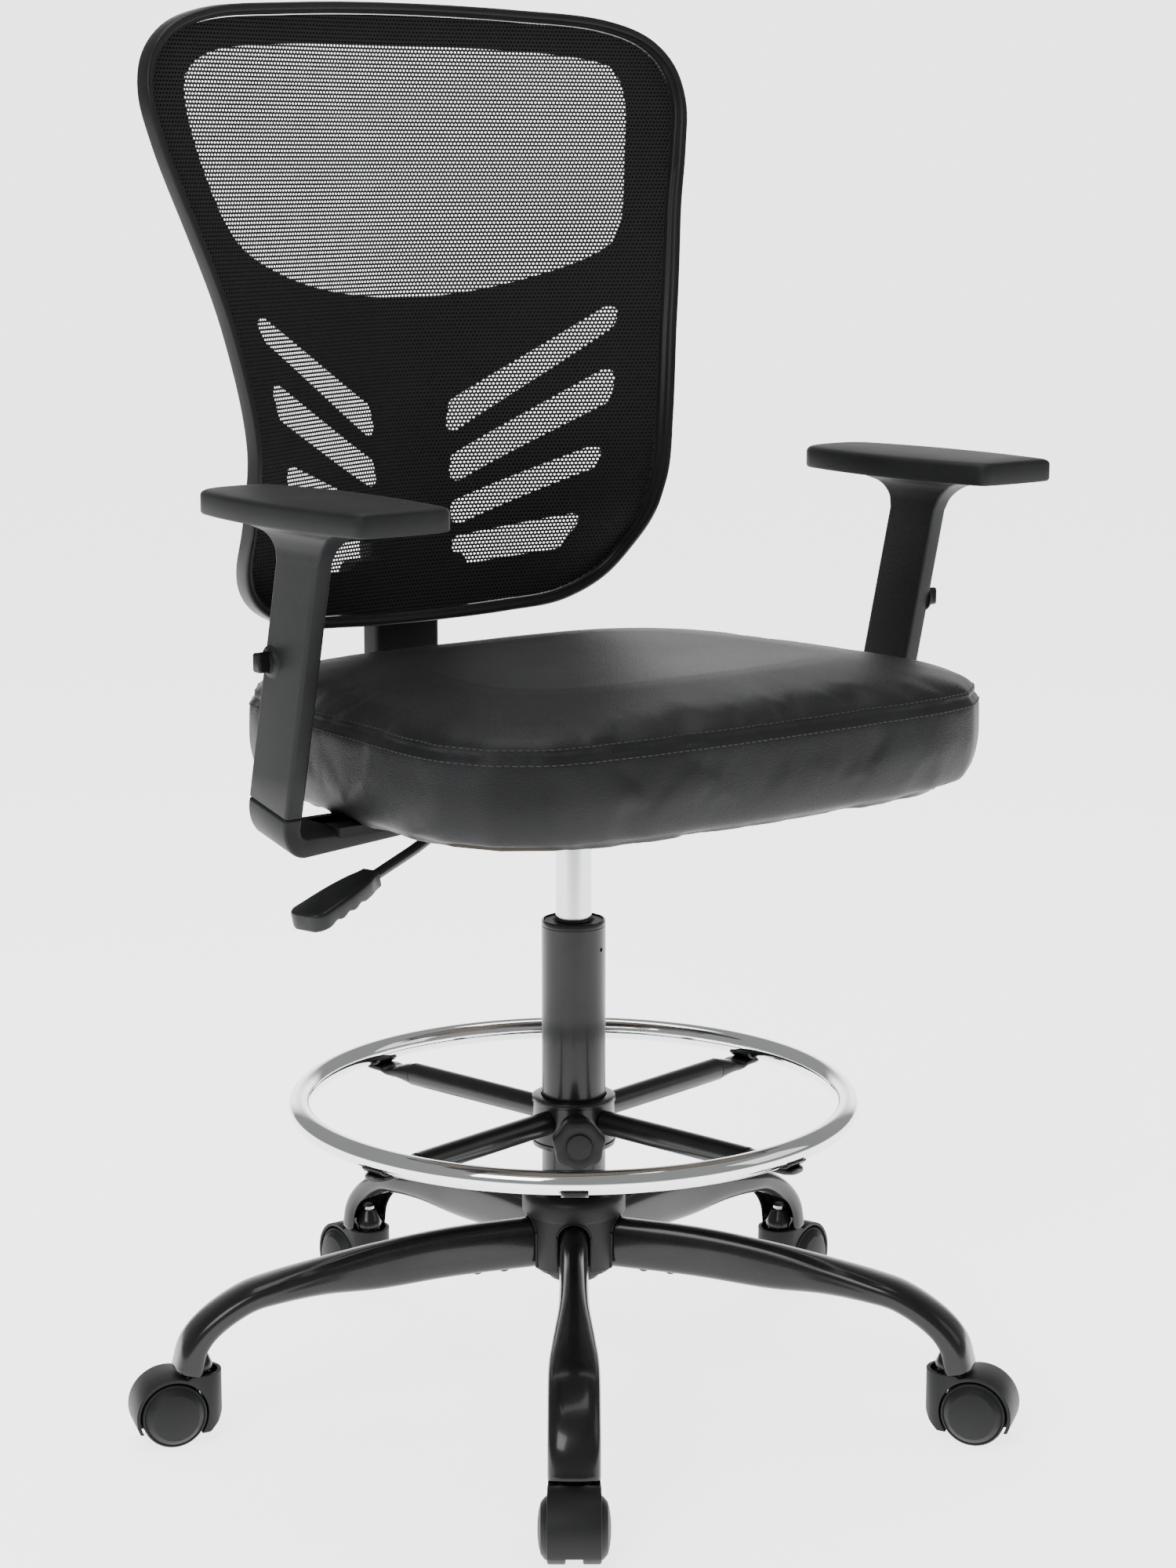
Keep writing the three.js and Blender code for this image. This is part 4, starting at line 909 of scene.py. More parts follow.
spoke_shape, saddle_shape, screw_shape = spoke_mesh(), saddle_mesh(), under_screw()
for number, angle in enumerate(spoke_angles, 1):
    spoke = copy_of(spoke_shape, f"spoke_{number}", about_axis(angle))
    finish_piece(spoke, "ring", column_paint, "column_paint", f"ring_spoke_{number}")
    screw = copy_of(screw_shape, f"spoke_screw_{number}", about_axis(angle))
    finish_piece(screw, "ring", bare_steel, "bare_steel")
    saddle = copy_of(saddle_shape, f"spoke_saddle_{number}", about_axis(angle))
    finish_piece(saddle, "ring", column_paint, "column_paint")
clip_middle = middle("ring_joint_clip")
clip_angle = math.atan2(clip_middle.y - axis.y, clip_middle.x - axis.x)
clip = copy_of(saddle_shape, "ring_clip", about_axis(clip_angle))
finish_piece(clip, "ring", column_paint, "column_paint", "ring_joint_clip")
drop(spoke_shape, saddle_shape, screw_shape)

# %% Collar and knob
def collar_mesh():
    low, high = collar_low.z, collar_high.z
    bore = column_radius + 0.3 * MM
    return lathe("collar", [
        (bore, low), (collar_radius - 2 * MM, low), (collar_radius - 0.6 * MM, low + 0.6 * MM),
        (collar_radius, low + 2 * MM), (collar_radius, low + 4 * MM), (collar_radius - 1 * MM, low + 5 * MM),
        (collar_radius - 1 * MM, high - 5 * MM), (collar_radius, high - 4 * MM),
        (collar_radius, high - 2 * MM),
        (collar_radius - 0.6 * MM, high - 0.6 * MM), (collar_radius - 2 * MM, high), (bore + 0.6 * MM, high),
        (bore, high - 0.8 * MM),
    ], 96)


def knob_mesh():
    """A seven-lobed knob along Z, from its skirt to its capped face."""
    lobes, outer = 7, 20.5 * MM
    depth = 32 * MM
    levels = [(0.0, 0.60, 0.0), (0.02, 0.66, 0.0), (0.36, 0.74, 0.1), (0.44, 0.86, 0.6), (0.50, 0.96, 1.0),
              (0.55, 1.0, 1.0), (0.84, 1.0, 1.0), (0.90, 0.965, 1.0), (0.93, 0.90, 0.9), (0.94, 0.62, 0.2),
              (0.925, 0.56, 0.0), (0.925, 0.50, 0.0), (0.99, 0.46, 0.0), (1.0, 0.40, 0.0), (1.0, 0.05, 0.0)]
    rings = []
    for share, size, lobed in levels:
        ring = []
        for i in range(lobes * 14):
            turn = 2 * math.pi * i / (lobes * 14)
            radius = outer * size - lobed * 1.7 * MM * (1 - math.cos(lobes * turn)) / 2
            ring.append(Vector((radius * math.cos(turn), radius * math.sin(turn), share * depth)))
        rings.append(ring)
    return loft("knob", rings, 34)


facing = Matrix.Rotation(knob_angle, 4, "Z") @ quarter("Y")
knob_place = Matrix.Translation((axis.x, axis.y, collar_middle)) @ facing
knob_back = collar_radius + 15 * MM
boss_low, boss_high = collar_radius - 2 * MM, knob_back - 0.3 * MM
boss = lathe("boss", [(4.4 * MM, boss_low), (12.5 * MM, boss_low), (12 * MM, boss_high - 1 * MM),
                      (11 * MM, boss_high), (4.4 * MM, boss_high)], 40)
clamp = moved(collar_mesh(), Matrix.Translation(axis))
collar = joined("ring_clamp_collar", [clamp, moved(boss, knob_place)])
finish_piece(collar, "ring", column_paint, "black_nylon", "ring_collar")
thread_low, thread_high = column_radius + 0.6 * MM, knob_back + 1 * MM
thread = lathe("thread", [(0, thread_low), (3.9 * MM, thread_low), (3.9 * MM, thread_high), (0, thread_high)], 24)
grip = moved(knob_mesh(), Matrix.Translation((0, 0, knob_back)))
knob = joined("ring_clamp_knob", [moved(grip, knob_place), moved(thread, knob_place)])
finish_piece(knob, "knob", caster_nylon, "black_nylon", "ring_knob")
print("foot ring radius, mm:", round(ring_radius / MM, 1))

# %% [markdown]
# ## Height lever
#
# A bent steel rod comes out of the mechanism and passes in front of the arm's foot. The moulded paddle on its
# end is flat on top for the palm, and wavy underneath so that fingers find it without looking. It is a loft
# of flat sections whose underside follows a cosine.

# %% Lever rod and paddle
def at(x, y, z):
    """A point in millimetres, measured from the gas lift's axis."""
    return Vector((x, y, z)) * MM + axis


def boxy(half_a, half_b, radius, steps=6):
    """A rectangle with round corners, as points."""
    points = []
    for quarter, (sign_a, sign_b) in enumerate(((1, 1), (-1, 1), (-1, -1), (1, -1))):
        for i in range(steps):
            turn = (quarter + i / (steps - 1)) * math.pi / 2
            points.append((sign_a * (half_a - radius) + radius * math.cos(turn),
                           sign_b * (half_b - radius) + radius * math.sin(turn)))
    return points


PADDLE_LENGTH, PADDLE_THICK = 76.0, 13.0
lever_bend = at(-169, -64.5, 490)
lever_aim = Vector((-111, -29, -30.5)).normalized()
paddle_start = lever_bend + lever_aim * 84 * MM
lever_path = smooth_path([at(-34, -22, 486), at(-100, -35.5, 486), lever_bend,
                          lever_bend + lever_aim * 40 * MM, paddle_start + lever_aim * 8 * MM], 60)
finish_piece(tube("lever_rod", lever_path, 4 * MM, 20), "lever", column_paint, "black_paint", "lever_rod")


def paddle_half(x):
    """Half the paddle's width, x mm from its neck, with a round corner at its end."""
    corner = 10.0
    end = max(0.0, (x - PADDLE_LENGTH + corner) / corner)
    side = curve_value([(0, 8), (6, 9), (15, 11.8), (34, 14.6), (66, 16)], x)
    return side - corner * (1 - math.sqrt(1 - end * end))


def paddle_mesh():
    rings = []
    for x in [0, 0.8, *np.linspace(2, 66, 49), *(66 + 10 * math.sin(t) for t in np.linspace(0.1, 1.5, 12))]:
        inset = max(0.0, 1.2 - 1.5 * min(x, PADDLE_LENGTH - x))
        wave = 1.7 * (1 - math.cos(2 * math.pi * (x - 22) / 14)) / 2 if 22 < x < 64 else 0.0
        ring = []
        for a, b in boxy(paddle_half(x) - inset, PADDLE_THICK / 2 - inset, 2.6 - inset):
            ring.append(Vector((x, a, b + (wave if b < 0 else 0.0))) * MM)
        rings.append(ring)
    return loft("lever_paddle_moulding", rings, 40)


dip = Matrix.Rotation(math.asin(-lever_aim.z), 4, "Y")
yaw = Matrix.Rotation(math.atan2(lever_aim.y, lever_aim.x), 4, "Z")
paddle = moved(paddle_mesh(), Matrix.Translation(paddle_start) @ yaw @ dip)
finish_piece(paddle, "lever", paddle_plastic, "black_nylon", "lever_paddle")
print("lever reach, mm:", round((paddle_start - lever_bend).length / MM + PADDLE_LENGTH))

# %% [markdown]
# ## Seat cushion
#
# The cushion is cut foam in a sewn artificial leather cover. The cover is a top panel and a side band, joined
# by a seam near the top edge with a row of stitches on each side of it. Foam pushes the cover out and the
# seam holds it in, so the solid is inflated slightly by a cloth simulation before the seam is pressed in.

# %% Inflate the cushion
SEAM = 569 * MM
PUFF_LIMIT = 6 * MM
seat_low, seat_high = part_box("seat_cushion")


def inflated(source, voxel, pressure):
    """A voxel copy of a soft part, swollen by cloth pressure with every point's travel capped."""
    made = bpy.data.objects.new("seat_cover", source.data.copy())
    bpy.context.scene.collection.objects.link(made)
    step = made.modifiers.new("voxels", "REMESH")
    step.mode = "VOXEL"
    step.voxel_size = voxel
    apply_modifiers(made)
    relax(made, 4)
    start = np.array([v.co for v in made.data.vertices])
    cloth = made.modifiers.new("cloth", "CLOTH").settings
    cloth.use_pressure = True
    cloth.uniform_pressure_force = pressure
    cloth.quality = 5
    cloth.effector_weights.gravity = 0
    for number in range(1, 21):
        bpy.context.scene.frame_set(number)
    apply_modifiers(made)
    bpy.context.scene.frame_set(1)
    end = np.array([v.co for v in made.data.vertices])
    travel = end - start
    size = np.linalg.norm(travel, axis=1, keepdims=True)
    travel *= np.minimum(1, PUFF_LIMIT / np.maximum(size, 1e-9))
    for vertex, place in zip(made.data.vertices, start + travel):
        vertex.co = place
    print("mean swell, mm:", round(float(np.linalg.norm(travel, axis=1).mean()) / MM, 2))
    return made


def relax(made, times):
    """Averages each point with its neighbours, to take the voxel steps out."""
    work = bmesh.new()
    work.from_mesh(made.data)
    for _ in range(times):
        bmesh.ops.smooth_vert(work, verts=work.verts, factor=0.5,
                              use_axis_x=True, use_axis_y=True, use_axis_z=True)
    work.to_mesh(made.data)
    work.free()


cover = inflated(frame["nodes"]["seat_cushion"], 5 * MM, 4.0)

# %% [markdown]
# The swollen shape is brought back inside the fixed part's width, then the seam is pressed in as a narrow
# groove all round. The underside stays flat where it rests on the seat board.

# %% Fit it, and press the seam in
def press_seam(made):
    step = made.modifiers.new("finer", "SUBSURF")
    step.levels = 1
    apply_modifiers(made)
    relax(made, 2)
    points = np.array([v.co for v in made.data.vertices])
    centre = np.array([(seat_low.x + seat_high.x) / 2, (seat_low.y + seat_high.y) / 2])
    half = np.array([(seat_high.x - seat_low.x) / 2, (seat_high.y - seat_low.y) / 2])
    reach = np.abs(points[:, :2] - centre).max(axis=0)
    points[:, :2] = centre + (points[:, :2] - centre) * np.minimum(1.0, half / reach)
    inside = points[:, 2] > seat_low.z + 4 * MM
    points[:, 2] = np.where(inside, np.minimum(points[:, 2], seat_high.z + 3 * MM), points[:, 2])
    points[:, 2] = np.maximum(points[:, 2], seat_low.z)
    outward = points[:, :2] - centre
    outward /= np.linalg.norm(outward, axis=1, keepdims=True)
    edge = np.linalg.norm((points[:, :2] - centre) / half, axis=1) > 0.75
    depth = np.where(edge, 2.4 * MM * np.exp(-((points[:, 2] - SEAM) / (2.6 * MM)) ** 2), 0)
    points[:, :2] -= outward * depth[:, None]
    for vertex, place in zip(made.data.vertices, points):
        vertex.co = place
    made.data.shade_smooth()


press_seam(cover)

# %% [markdown]
# Each stitch is a short twisted thread that sinks into the leather at both ends. The rows are laid by looking
# from outside towards the middle of the seat, at a fixed height above and below the seam, and the stitches
# are spaced by the length along the surface.

# %% Stitch rows
def around_cover(tree, height, count=720):
    """Points and outward normals round the cover at one height."""
    hits = []
    for turn in np.linspace(0, 2 * math.pi, count, endpoint=False):
        ahead = Vector((math.cos(turn), math.sin(turn), 0))
        centre = Vector((0, (seat_low.y + seat_high.y) / 2, height))
        place, normal, _, _ = tree.ray_cast(centre + ahead, -ahead)
        hits.append((place, normal))
    return hits


def stitch_row(tree, height, pitch=5.4 * MM):
    """A row of stitches, as one mesh."""
    hits = around_cover(tree, height)
    line = [place for place, _ in hits]
    total = sum((b - a).length for a, b in zip(line, line[1:] + line[:1]))
    spots = even_points(line, round(total / pitch), closed=True)
    points, faces = [], []
    for here, there in zip(spots, spots[1:] + spots[:1]):
        ahead = (there - here).normalized()
        normal = Vector((ahead.y, -ahead.x, 0)).normalized()
        up = ahead.cross(normal)
        first = len(points)
        for share, size, lift in ((-0.40, 0.35, -0.35), (-0.30, 0.85, 0.05), (0, 1, 0.25), (0.30, 0.85, 0.05),
                                  (0.40, 0.35, -0.35)):
            for k in range(6):
                turn = math.pi / 3 * k
                side = normal * math.cos(turn) + up * math.sin(turn)
                points.append(here + ahead * pitch * share + normal * lift * MM + side * size * 0.5 * MM)
        for ring in range(4):
            for k in range(6):
                a, b = first + ring * 6 + k, first + ring * 6 + (k + 1) % 6
                faces.append((a, b, b + 6, a + 6))
        faces += [tuple(range(first, first + 6))[::-1], tuple(range(first + 24, first + 30))]
    return add_object("stitch_row", points, faces, 60)


def cover_tree(made):
    work = bmesh.new()
    work.from_mesh(made.data)
    tree = bvhtree.BVHTree.FromBMesh(work)
    work.free()
    return tree


tree = cover_tree(cover)
stitches = joined("seam_stitches", [stitch_row(tree, SEAM + 5 * MM), stitch_row(tree, SEAM - 5 * MM)])

# %% [markdown]
# Artificial leather is a printed grain under a thin soft coating. Two sizes of Voronoi cells make the
# pebbles, and a slow noise bends the surface as foam does under a loose cover.

# %% Leather, thread and plywood
def leather():
    finish = Finish("artificial_leather", IOR=1.45, Specular_IOR_Level=0.2)
    cloud = finish.noise(5.0, 3.0)
    finish.set(Roughness=(cloud - 0.5) * 0.12 + 0.47)
    finish.set(Base_Color=finish.color_mix(finish.noise(16.0, 4.0).between(0.3, 0.8),
                                           (0.0085, 0.0088, 0.0094), (0.0125, 0.0129, 0.0137)))
    pebbles = finish.cells(520.0, "DISTANCE_TO_EDGE").between(0.0, 0.25)
    fine = finish.cells(1500.0).between(0.1, 0.6)
    folds = finish.noise(11.0, 2.0) * 6.0
    return finish.bump(pebbles + fine * 0.3 + folds, 0.22, 0.0006).material


def plywood():
    finish = Finish("dark_stained_plywood", IOR=1.45)
    grain = finish.node("ShaderNodeTexWave", {"bands_direction": "Z"},
                        {"Vector": finish.place(), "Scale": 260.0, "Distortion": 1.5, "Detail": 3.0})
    finish.set(Base_Color=finish.color_mix(grain, (0.035, 0.028, 0.022), (0.055, 0.043, 0.032)))
    return finish.set(Roughness=grain * 0.1 + 0.6).material


cover_leather = leather()
thread_black = moulded("bonded_thread", (0.030, 0.031, 0.033), 0.55, 1800.0, 0.3)
cover.name = "seat_cover"
finish_piece(cover, "seat", cover_leather, "faux_leather", "seat_cushion")
finish_piece(stitches, "seat", thread_black, "faux_leather")
inner_finish = {"hub_sleeve": black_paint, "piston_rod": bare_steel, "seat_board": plywood(),
                "seat_mechanism": column_paint, **{f"caster_axle_{n}": bare_steel for n in LEG_NUMBERS}}
for node, material in inner_finish.items():
    fixed = frame["nodes"][node]
    if not fixed.material_slots:
        fixed.data.materials.append(None)
    fixed.material_slots[0].link = "OBJECT"
    fixed.material_slots[0].material = material
print("seat cover faces:", len(cover.data.polygons), "stitches:", len(stitches.data.polygons) // 26)

# %% [markdown]
# ## Arms
#
# An arm is two mouldings. The foot is an L that is screwed under the seat, and its hidden core runs up inside
# the sleeve. The sleeve slides on that core, flares at its top, and carries the pad. The split between them
# is square to the lean. The button stands in a dished boss.

# %% Arm sleeve and foot
ARM_OUTER, ARM_THICK, ARM_DEPTH = 300.0, 15.0, 51.0
ARM_X = ARM_OUTER - ARM_THICK / 2
ARM_LEAN, ARM_MIDDLE, ARM_SPLIT = 0.232, -31.0, 516.5
ARM_DROP, ARM_FOOT = 32.6, 16.0
CORE_THICK, CORE_DEEP, CORE_TOP = 6.0, 34.0, 634.0
SLEEVE_LIP, BUTTON_LEVEL, BUTTON_SHIFT = 721.7, 622.0, 16.0
BUTTON_HALF, BUTTON_TALL = 5.0, 7.0
lean_angle = math.atan(ARM_LEAN)


def arm_y(z):
    return ARM_MIDDLE - ARM_LEAN * (z - ARM_SPLIT)


def level_ring(z, thick, deep, edge=3.0):
    return [at(ARM_X + a, arm_y(z) + b, z) for a, b in boxy(thick / 2, deep / 2, min(edge, thick / 2.2))]


def split_ring(lift, inset, edge=3.0):
    """A ring square to the lean, at the split between sleeve and foot."""
    ring = []
    for a, b in boxy(ARM_THICK / 2 - inset, ARM_DEPTH / 2 - inset, edge - inset):
        z = ARM_SPLIT + b * ARM_LEAN / (1 + ARM_LEAN ** 2) + lift
        ring.append(at(ARM_X + a, arm_y(z) + b, z))
    return ring


def core_block(name, low, high, spare):
    half = (CORE_THICK / 2 + spare, CORE_DEEP / 2 + spare)
    return loft(name, [[at(ARM_X + a, arm_y(z) + b, z) for a, b in boxy(*half, 1.5)] for z in (low, high)])


def sleeve_mesh(side):
    lip = SLEEVE_LIP
    thick = [(lip - 28, 15), (lip - 17, 16), (lip - 8, 21), (lip - 3, 33), (lip, 35)]
    deep = [(lip - 28, 50), (lip - 17, 59), (lip - 8, 81), (lip - 3, 111), (lip, 113)]
    rings = [split_ring(0.0, 0.6), split_ring(0.7, 0.0)]
    rings += [level_ring(z, ARM_THICK, ARM_DEPTH - (z - 540) / 160) for z in (540, 580, 620, 660)]
    rings += [level_ring(z, curve_value(thick, z), curve_value(deep, z))
              for z in [*np.linspace(lip - 28, lip - 3, 22), lip - 1.2]]
    rings.append(level_ring(lip, 33.5, 111.5))
    made = loft("arm_sleeve", rings, 40)
    y = arm_y(BUTTON_LEVEL) - side * BUTTON_SHIFT
    made = cut(made, core_block("hollow", ARM_SPLIT - 20, CORE_TOP + 3, 0.35))
    made = cut(made, button_slot(y))
    curve = [(11 - 3 * math.sin(t), 0.5 + 3.5 * (1 - math.cos(t))) for t in np.linspace(0.2, math.pi / 2, 8)]
    profile = [(0, -1.5), (11.6, -1.5), (11.6, 0.1), (11.0, 0.5), *curve, (7.6, 4.2), (0, 4.2)]
    boss = moved(lathe("boss", in_mm(profile), 48), quarter("Y"))
    boss = cut(moved(boss, Matrix.Translation(at(ARM_OUTER, y, BUTTON_LEVEL))), button_slot(y))
    return joined("arm_sleeve", [made, boss])


def button_slot(y):
    """The hole that the button slides in, along X."""
    slot = prism("slot", in_mm(boxy(BUTTON_HALF + 0.3, BUTTON_TALL + 0.3, 2.5)), 16 * MM)
    return moved(slot, Matrix.Translation(at(ARM_OUTER - 7, y, BUTTON_LEVEL)) @ quarter("Y") @ quarter("Z"))


def foot_mesh():
    inner = ARM_OUTER - ARM_THICK
    tall = ARM_DROP - 3.3
    curve = [(ARM_OUTER - 22 + 22 * math.cos(t), -ARM_DROP + tall - tall * math.sin(t))
             for t in np.linspace(0, math.pi / 2, 14)]
    outline = [(ARM_OUTER, -0.3), *curve, (165, -ARM_DROP + 9), (165, -ARM_DROP + ARM_FOOT),
               (inner - 6, -ARM_DROP + ARM_FOOT), (inner - 1.8, -ARM_DROP + ARM_FOOT + 1.8),
               (inner, -ARM_DROP + ARM_FOOT + 6), (inner, -0.3)]
    deep = (ARM_DEPTH - 1) * math.cos(lean_angle) * MM
    elbow = prism("elbow", in_mm(outline), deep)
    bevel(elbow, 2.4 * MM, 3, 50)
    leaned = Matrix.Translation(at(0, ARM_MIDDLE, ARM_SPLIT)) @ Matrix.Rotation(lean_angle, 4, "X")
    moved(elbow, leaned @ Matrix.Translation((0, deep / 2, 0)) @ quarter("X"))
    under = prism("under_seat", [(-0.3, -0.2), (0.261, -0.2), (0.261, 0.2), (-0.3, 0.2)], 0.1)
    cut(elbow, moved(under, Matrix.Translation(Vector((0, 0, seat_low.z - 0.3 * MM)))))
    tongue = prism("tongue", in_mm([(165, -22), (253, -22), (253, 22), (165, 22)]), 7 * MM)
    moved(tongue, Matrix.Translation(at(0, ARM_MIDDLE, 0) + Vector((0, 0, seat_low.z - 7.3 * MM))))
    core = core_block("core", ARM_SPLIT - 14, CORE_TOP, 0.0)
    return joined("arm_foot", [elbow, tongue, core])


# %% [markdown]
# The pad is a stiff board with a soft skin, squared at the front and narrower at the back. Its crown is low,
# with a tight radius at the edge, and a thin shadow gap parts it from the sleeve.

# %% Arm pad and button
def pad_ring(inset, z):
    front, back = -188 + inset, 30 - inset
    f, m = 37.5 - inset, 45.5 - inset
    half = [Vector((0, front - 1.5)), Vector((f * 0.5, front - 0.9)), Vector((f - 5, front))]
    half += [Vector((f - 5 + 5.2 * math.sin(t), front + 5 - 5 * math.cos(t)))
             for t in np.linspace(0.3, 1.5, 5)]
    a, b = Vector((f + 0.4, front + 5)), Vector((m + 2, front + 60))
    c, d = Vector((m + 5, back - 80)), Vector((f * 0.9, back - 15))
    half += [a * (1 - t) ** 3 + b * 3 * t * (1 - t) ** 2 + c * 3 * t * t * (1 - t) + d * t ** 3
             for t in np.linspace(0.02, 1, 24)]
    e, tail = Vector((f * 0.75, back)), Vector((0, back))
    half += [d * (1 - t) ** 2 + e * 2 * t * (1 - t) + tail * t * t for t in np.linspace(0.1, 0.95, 9)]
    half = even_points(half + [tail], 60)
    loop = half + [Vector((-p.x, p.y)) for p in half[-2:0:-1]]
    return [at(ARM_X - 5.5 + p.x, p.y, z) for p in loop]


pad_levels = [(3.0, 722), (0.9, 722.4), (0, 724), (0, 735.4), (0.35, 736.8), (1.3, 738.1), (2.8, 739),
              (5, 739.5), (10, 740.1), (17, 740.7), (26, 741)]
pad_shape = loft("arm_pad", [pad_ring(inset, z) for inset, z in pad_levels], 45)
foot_shape = foot_mesh()
mirror = Matrix.Diagonal((-1, 1, 1, 1))
for side_name, side in (("left", 1), ("right", -1)):
    turn = Matrix.Identity(4) if side > 0 else mirror
    sleeve = moved(sleeve_mesh(side), turn)
    sleeve.name = f"arm_sleeve_moulding_{side_name}"
    finish_piece(sleeve, f"arm_{side_name}", arm_plastic, "grey_plastic", f"arm_sleeve_{side_name}")
    pad = copy_of(pad_shape, f"arm_pad_skin_{side_name}", turn)
    finish_piece(pad, f"arm_{side_name}", pad_plastic, "grey_plastic", f"arm_pad_{side_name}")
    foot = copy_of(foot_shape, f"arm_foot_{side_name}", turn)
    finish_piece(foot, "seat", arm_plastic, "grey_plastic", f"arm_bracket_{side_name}")
    cap = prism("button", in_mm(boxy(BUTTON_HALF, BUTTON_TALL, 2.4)), 13.5 * MM)
    bevel(cap, 1.1 * MM, 4, 50)
    place = at(ARM_OUTER - 1.5, arm_y(BUTTON_LEVEL) - side * BUTTON_SHIFT, BUTTON_LEVEL)
    button = moved(moved(cap, Matrix.Translation(place) @ quarter("Y") @ quarter("Z")), turn)
    button.name = f"arm_button_cap_{side_name}"
    finish_piece(button, f"button_{side_name}", gloss_black, "gloss_black", f"arm_button_{side_name}")
drop(pad_shape, foot_shape)
print("arm lean, degrees:", round(math.degrees(lean_angle), 1))

# %% [markdown]
# ## Back
#
# The back is one curved sheet: its middle leans back, and its sides come forward most at the waist. The rim
# is a moulding that follows the edge of that sheet, with a small bead along its inner edge where the mesh is
# held in a groove.

# %% The back's surface and its outline
BACK_MIDDLE = [(590, 198), (660, 208), (740, 217), (860, 225), (1100, 234)]
BACK_WRAP = [(590, 10), (640, 40), (690, 80), (750, 101), (840, 88), (945, 55), (1020, 40), (1100, 34)]
RIM_HALF = [(0, 599), (78, 601), (136, 607), (175, 627), (195, 659), (202, 705), (203, 755),
            (215, 835), (235, 915), (253, 978), (259, 1014), (252, 1043), (231, 1065), (192, 1079),
            (108, 1086), (0, 1089)]
RIM_WIDE, RIM_DEEP = 9.0, 8.5


def back_y(x, z):
    def rise(v):
        return math.hypot(v, 60) - 60
    return curve_value(BACK_MIDDLE, z) - curve_value(BACK_WRAP, z) * rise(x) / rise(230)


def even_loop(points, count):
    """A closed smooth line through points whose spacing varies, as evenly spaced points."""
    fine, total = [], len(points)
    for i in range(total):
        a, b, c, d = (points[(i + k) % total] for k in (-1, 0, 1, 2))
        d0, d1, d2 = ((q - p).length ** 0.5 for p, q in ((a, b), (b, c), (c, d)))
        m1 = ((b - a) / d0 - (c - a) / (d0 + d1) + (c - b) / d1) * d1
        m2 = ((c - b) / d1 - (d - b) / (d1 + d2) + (d - c) / d2) * d1
        for k in range(20):
            t = k / 20
            fine.append(b * (2 * t ** 3 - 3 * t ** 2 + 1) + m1 * (t ** 3 - 2 * t ** 2 + t)
                        + c * (3 * t ** 2 - 2 * t ** 3) + m2 * (t ** 3 - t ** 2))
    return even_points(fine, count, closed=True)


rim_line = even_loop([Vector(p) for p in RIM_HALF] + [Vector((-x, z)) for x, z in RIM_HALF[-2:0:-1]], 300)


def inset_line(line, inset):
    moved_in = []
    for i, here in enumerate(line):
        ahead = (line[(i + 1) % len(line)] - line[i - 1]).normalized()
        moved_in.append(here + Vector((-ahead.y, ahead.x)) * inset)
    return moved_in


def rim_mesh():
    inner = inset_line(rim_line, RIM_WIDE)
    section = [(0.32, -8.5), (0.14, -8.1), (0.03, -6.9), (0, -5.2), (0, 6.2), (0.06, 7.8), (0.2, 8.5),
               (0.8, 8.5), (0.94, 7.8), (1, 6.2), (1, -1.5), (1, -3.2), (0.9, -4.3), (0.76, -4.4),
               (0.7, -5.4), (0.66, -7.6), (0.52, -8.4)]
    rings = []
    for outer, near in zip(rim_line, inner):
        ring = []
        for share, depth in section:
            spot = outer.lerp(near, share)
            ring.append(at(spot.x, back_y(spot.x, spot.y) + depth, spot.y))
        rings.append(ring)
    return loft("back_rim", rings, 42, joined=True)


finish_piece(rim_mesh(), "seat", frame_plastic, "grey_plastic", "back_frame")
print("rim line, mm:", round(sum((b - a).length for a, b in zip(rim_line, rim_line[1:]))))

# %% [markdown]
# The knitted mesh is stretched in the rim as two layers. The front layer has the small round holes. The one
# behind it is dense and black, and is left out in a pattern of openings that let light through. Each layer
# stores where a point lies on the flat cloth, so that its weave follows the curve, and the backing stores how
# far a point is from the edge of an opening.

# %% Mesh layers
MESH_INSET = RIM_WIDE + 0.5
TOP_CORNERS = [(-216, 999), (-214, 1030), (-192, 1045), (-162, 1051), (6, 1056), (172, 1048),
               (200, 1040), (208, 1018), (202, 970), (189, 914), (177, 898), (104, 871), (13, 858),
               (-110, 872), (-175, 898), (-192, 918)]
TOP_OPENING = [tuple(p) for p in even_loop([Vector(p) for p in TOP_CORNERS], 72)]
SLOTS = [[(172, 848), (171, 832), (39, 751), (39, 774)], [(164, 797), (162, 772), (39, 710), (38, 730)],
         [(152, 735), (152, 718), (38, 674), (35, 692)], [(141, 677), (131, 650), (36, 641), (35, 664)]]
SLOTS += [[(-x, z) for x, z in slot] for slot in SLOTS]


def edge_distance(x, z, outline, radius):
    """Distance outside an outline with round corners, in mm; negative inside."""
    corners = np.array(outline, float)
    middle_point = corners.mean(axis=0)
    best = np.full(x.shape, 1e9)
    inside = np.zeros(x.shape, bool)
    shrunk = []
    count = len(corners)
    for i in range(count):
        before, here, after = corners[i - 1], corners[i], corners[(i + 1) % count]
        shift = np.zeros(2)
        for a, b in ((before, here), (here, after)):
            normal = np.array([-(b - a)[1], (b - a)[0]]) / np.linalg.norm(b - a)
            shift += normal * (1 if normal @ (middle_point - here) > 0 else -1)
        shrunk.append(here + shift * radius / max(1.0, (shift @ shift) / 2))
    for a, b in zip(shrunk, shrunk[1:] + shrunk[:1]):
        along = b - a
        t = np.clip(((x - a[0]) * along[0] + (z - a[1]) * along[1]) / (along @ along), 0, 1)
        best = np.minimum(best, np.hypot(x - a[0] - t * along[0], z - a[1] - t * along[1]))
        crosses = ((a[1] > z) != (b[1] > z))
        with np.errstate(divide="ignore", invalid="ignore"):
            where = a[0] + (z - a[1]) * along[0] / along[1]
        inside ^= crosses & (x < where)
    return np.where(inside, -best, best) - radius


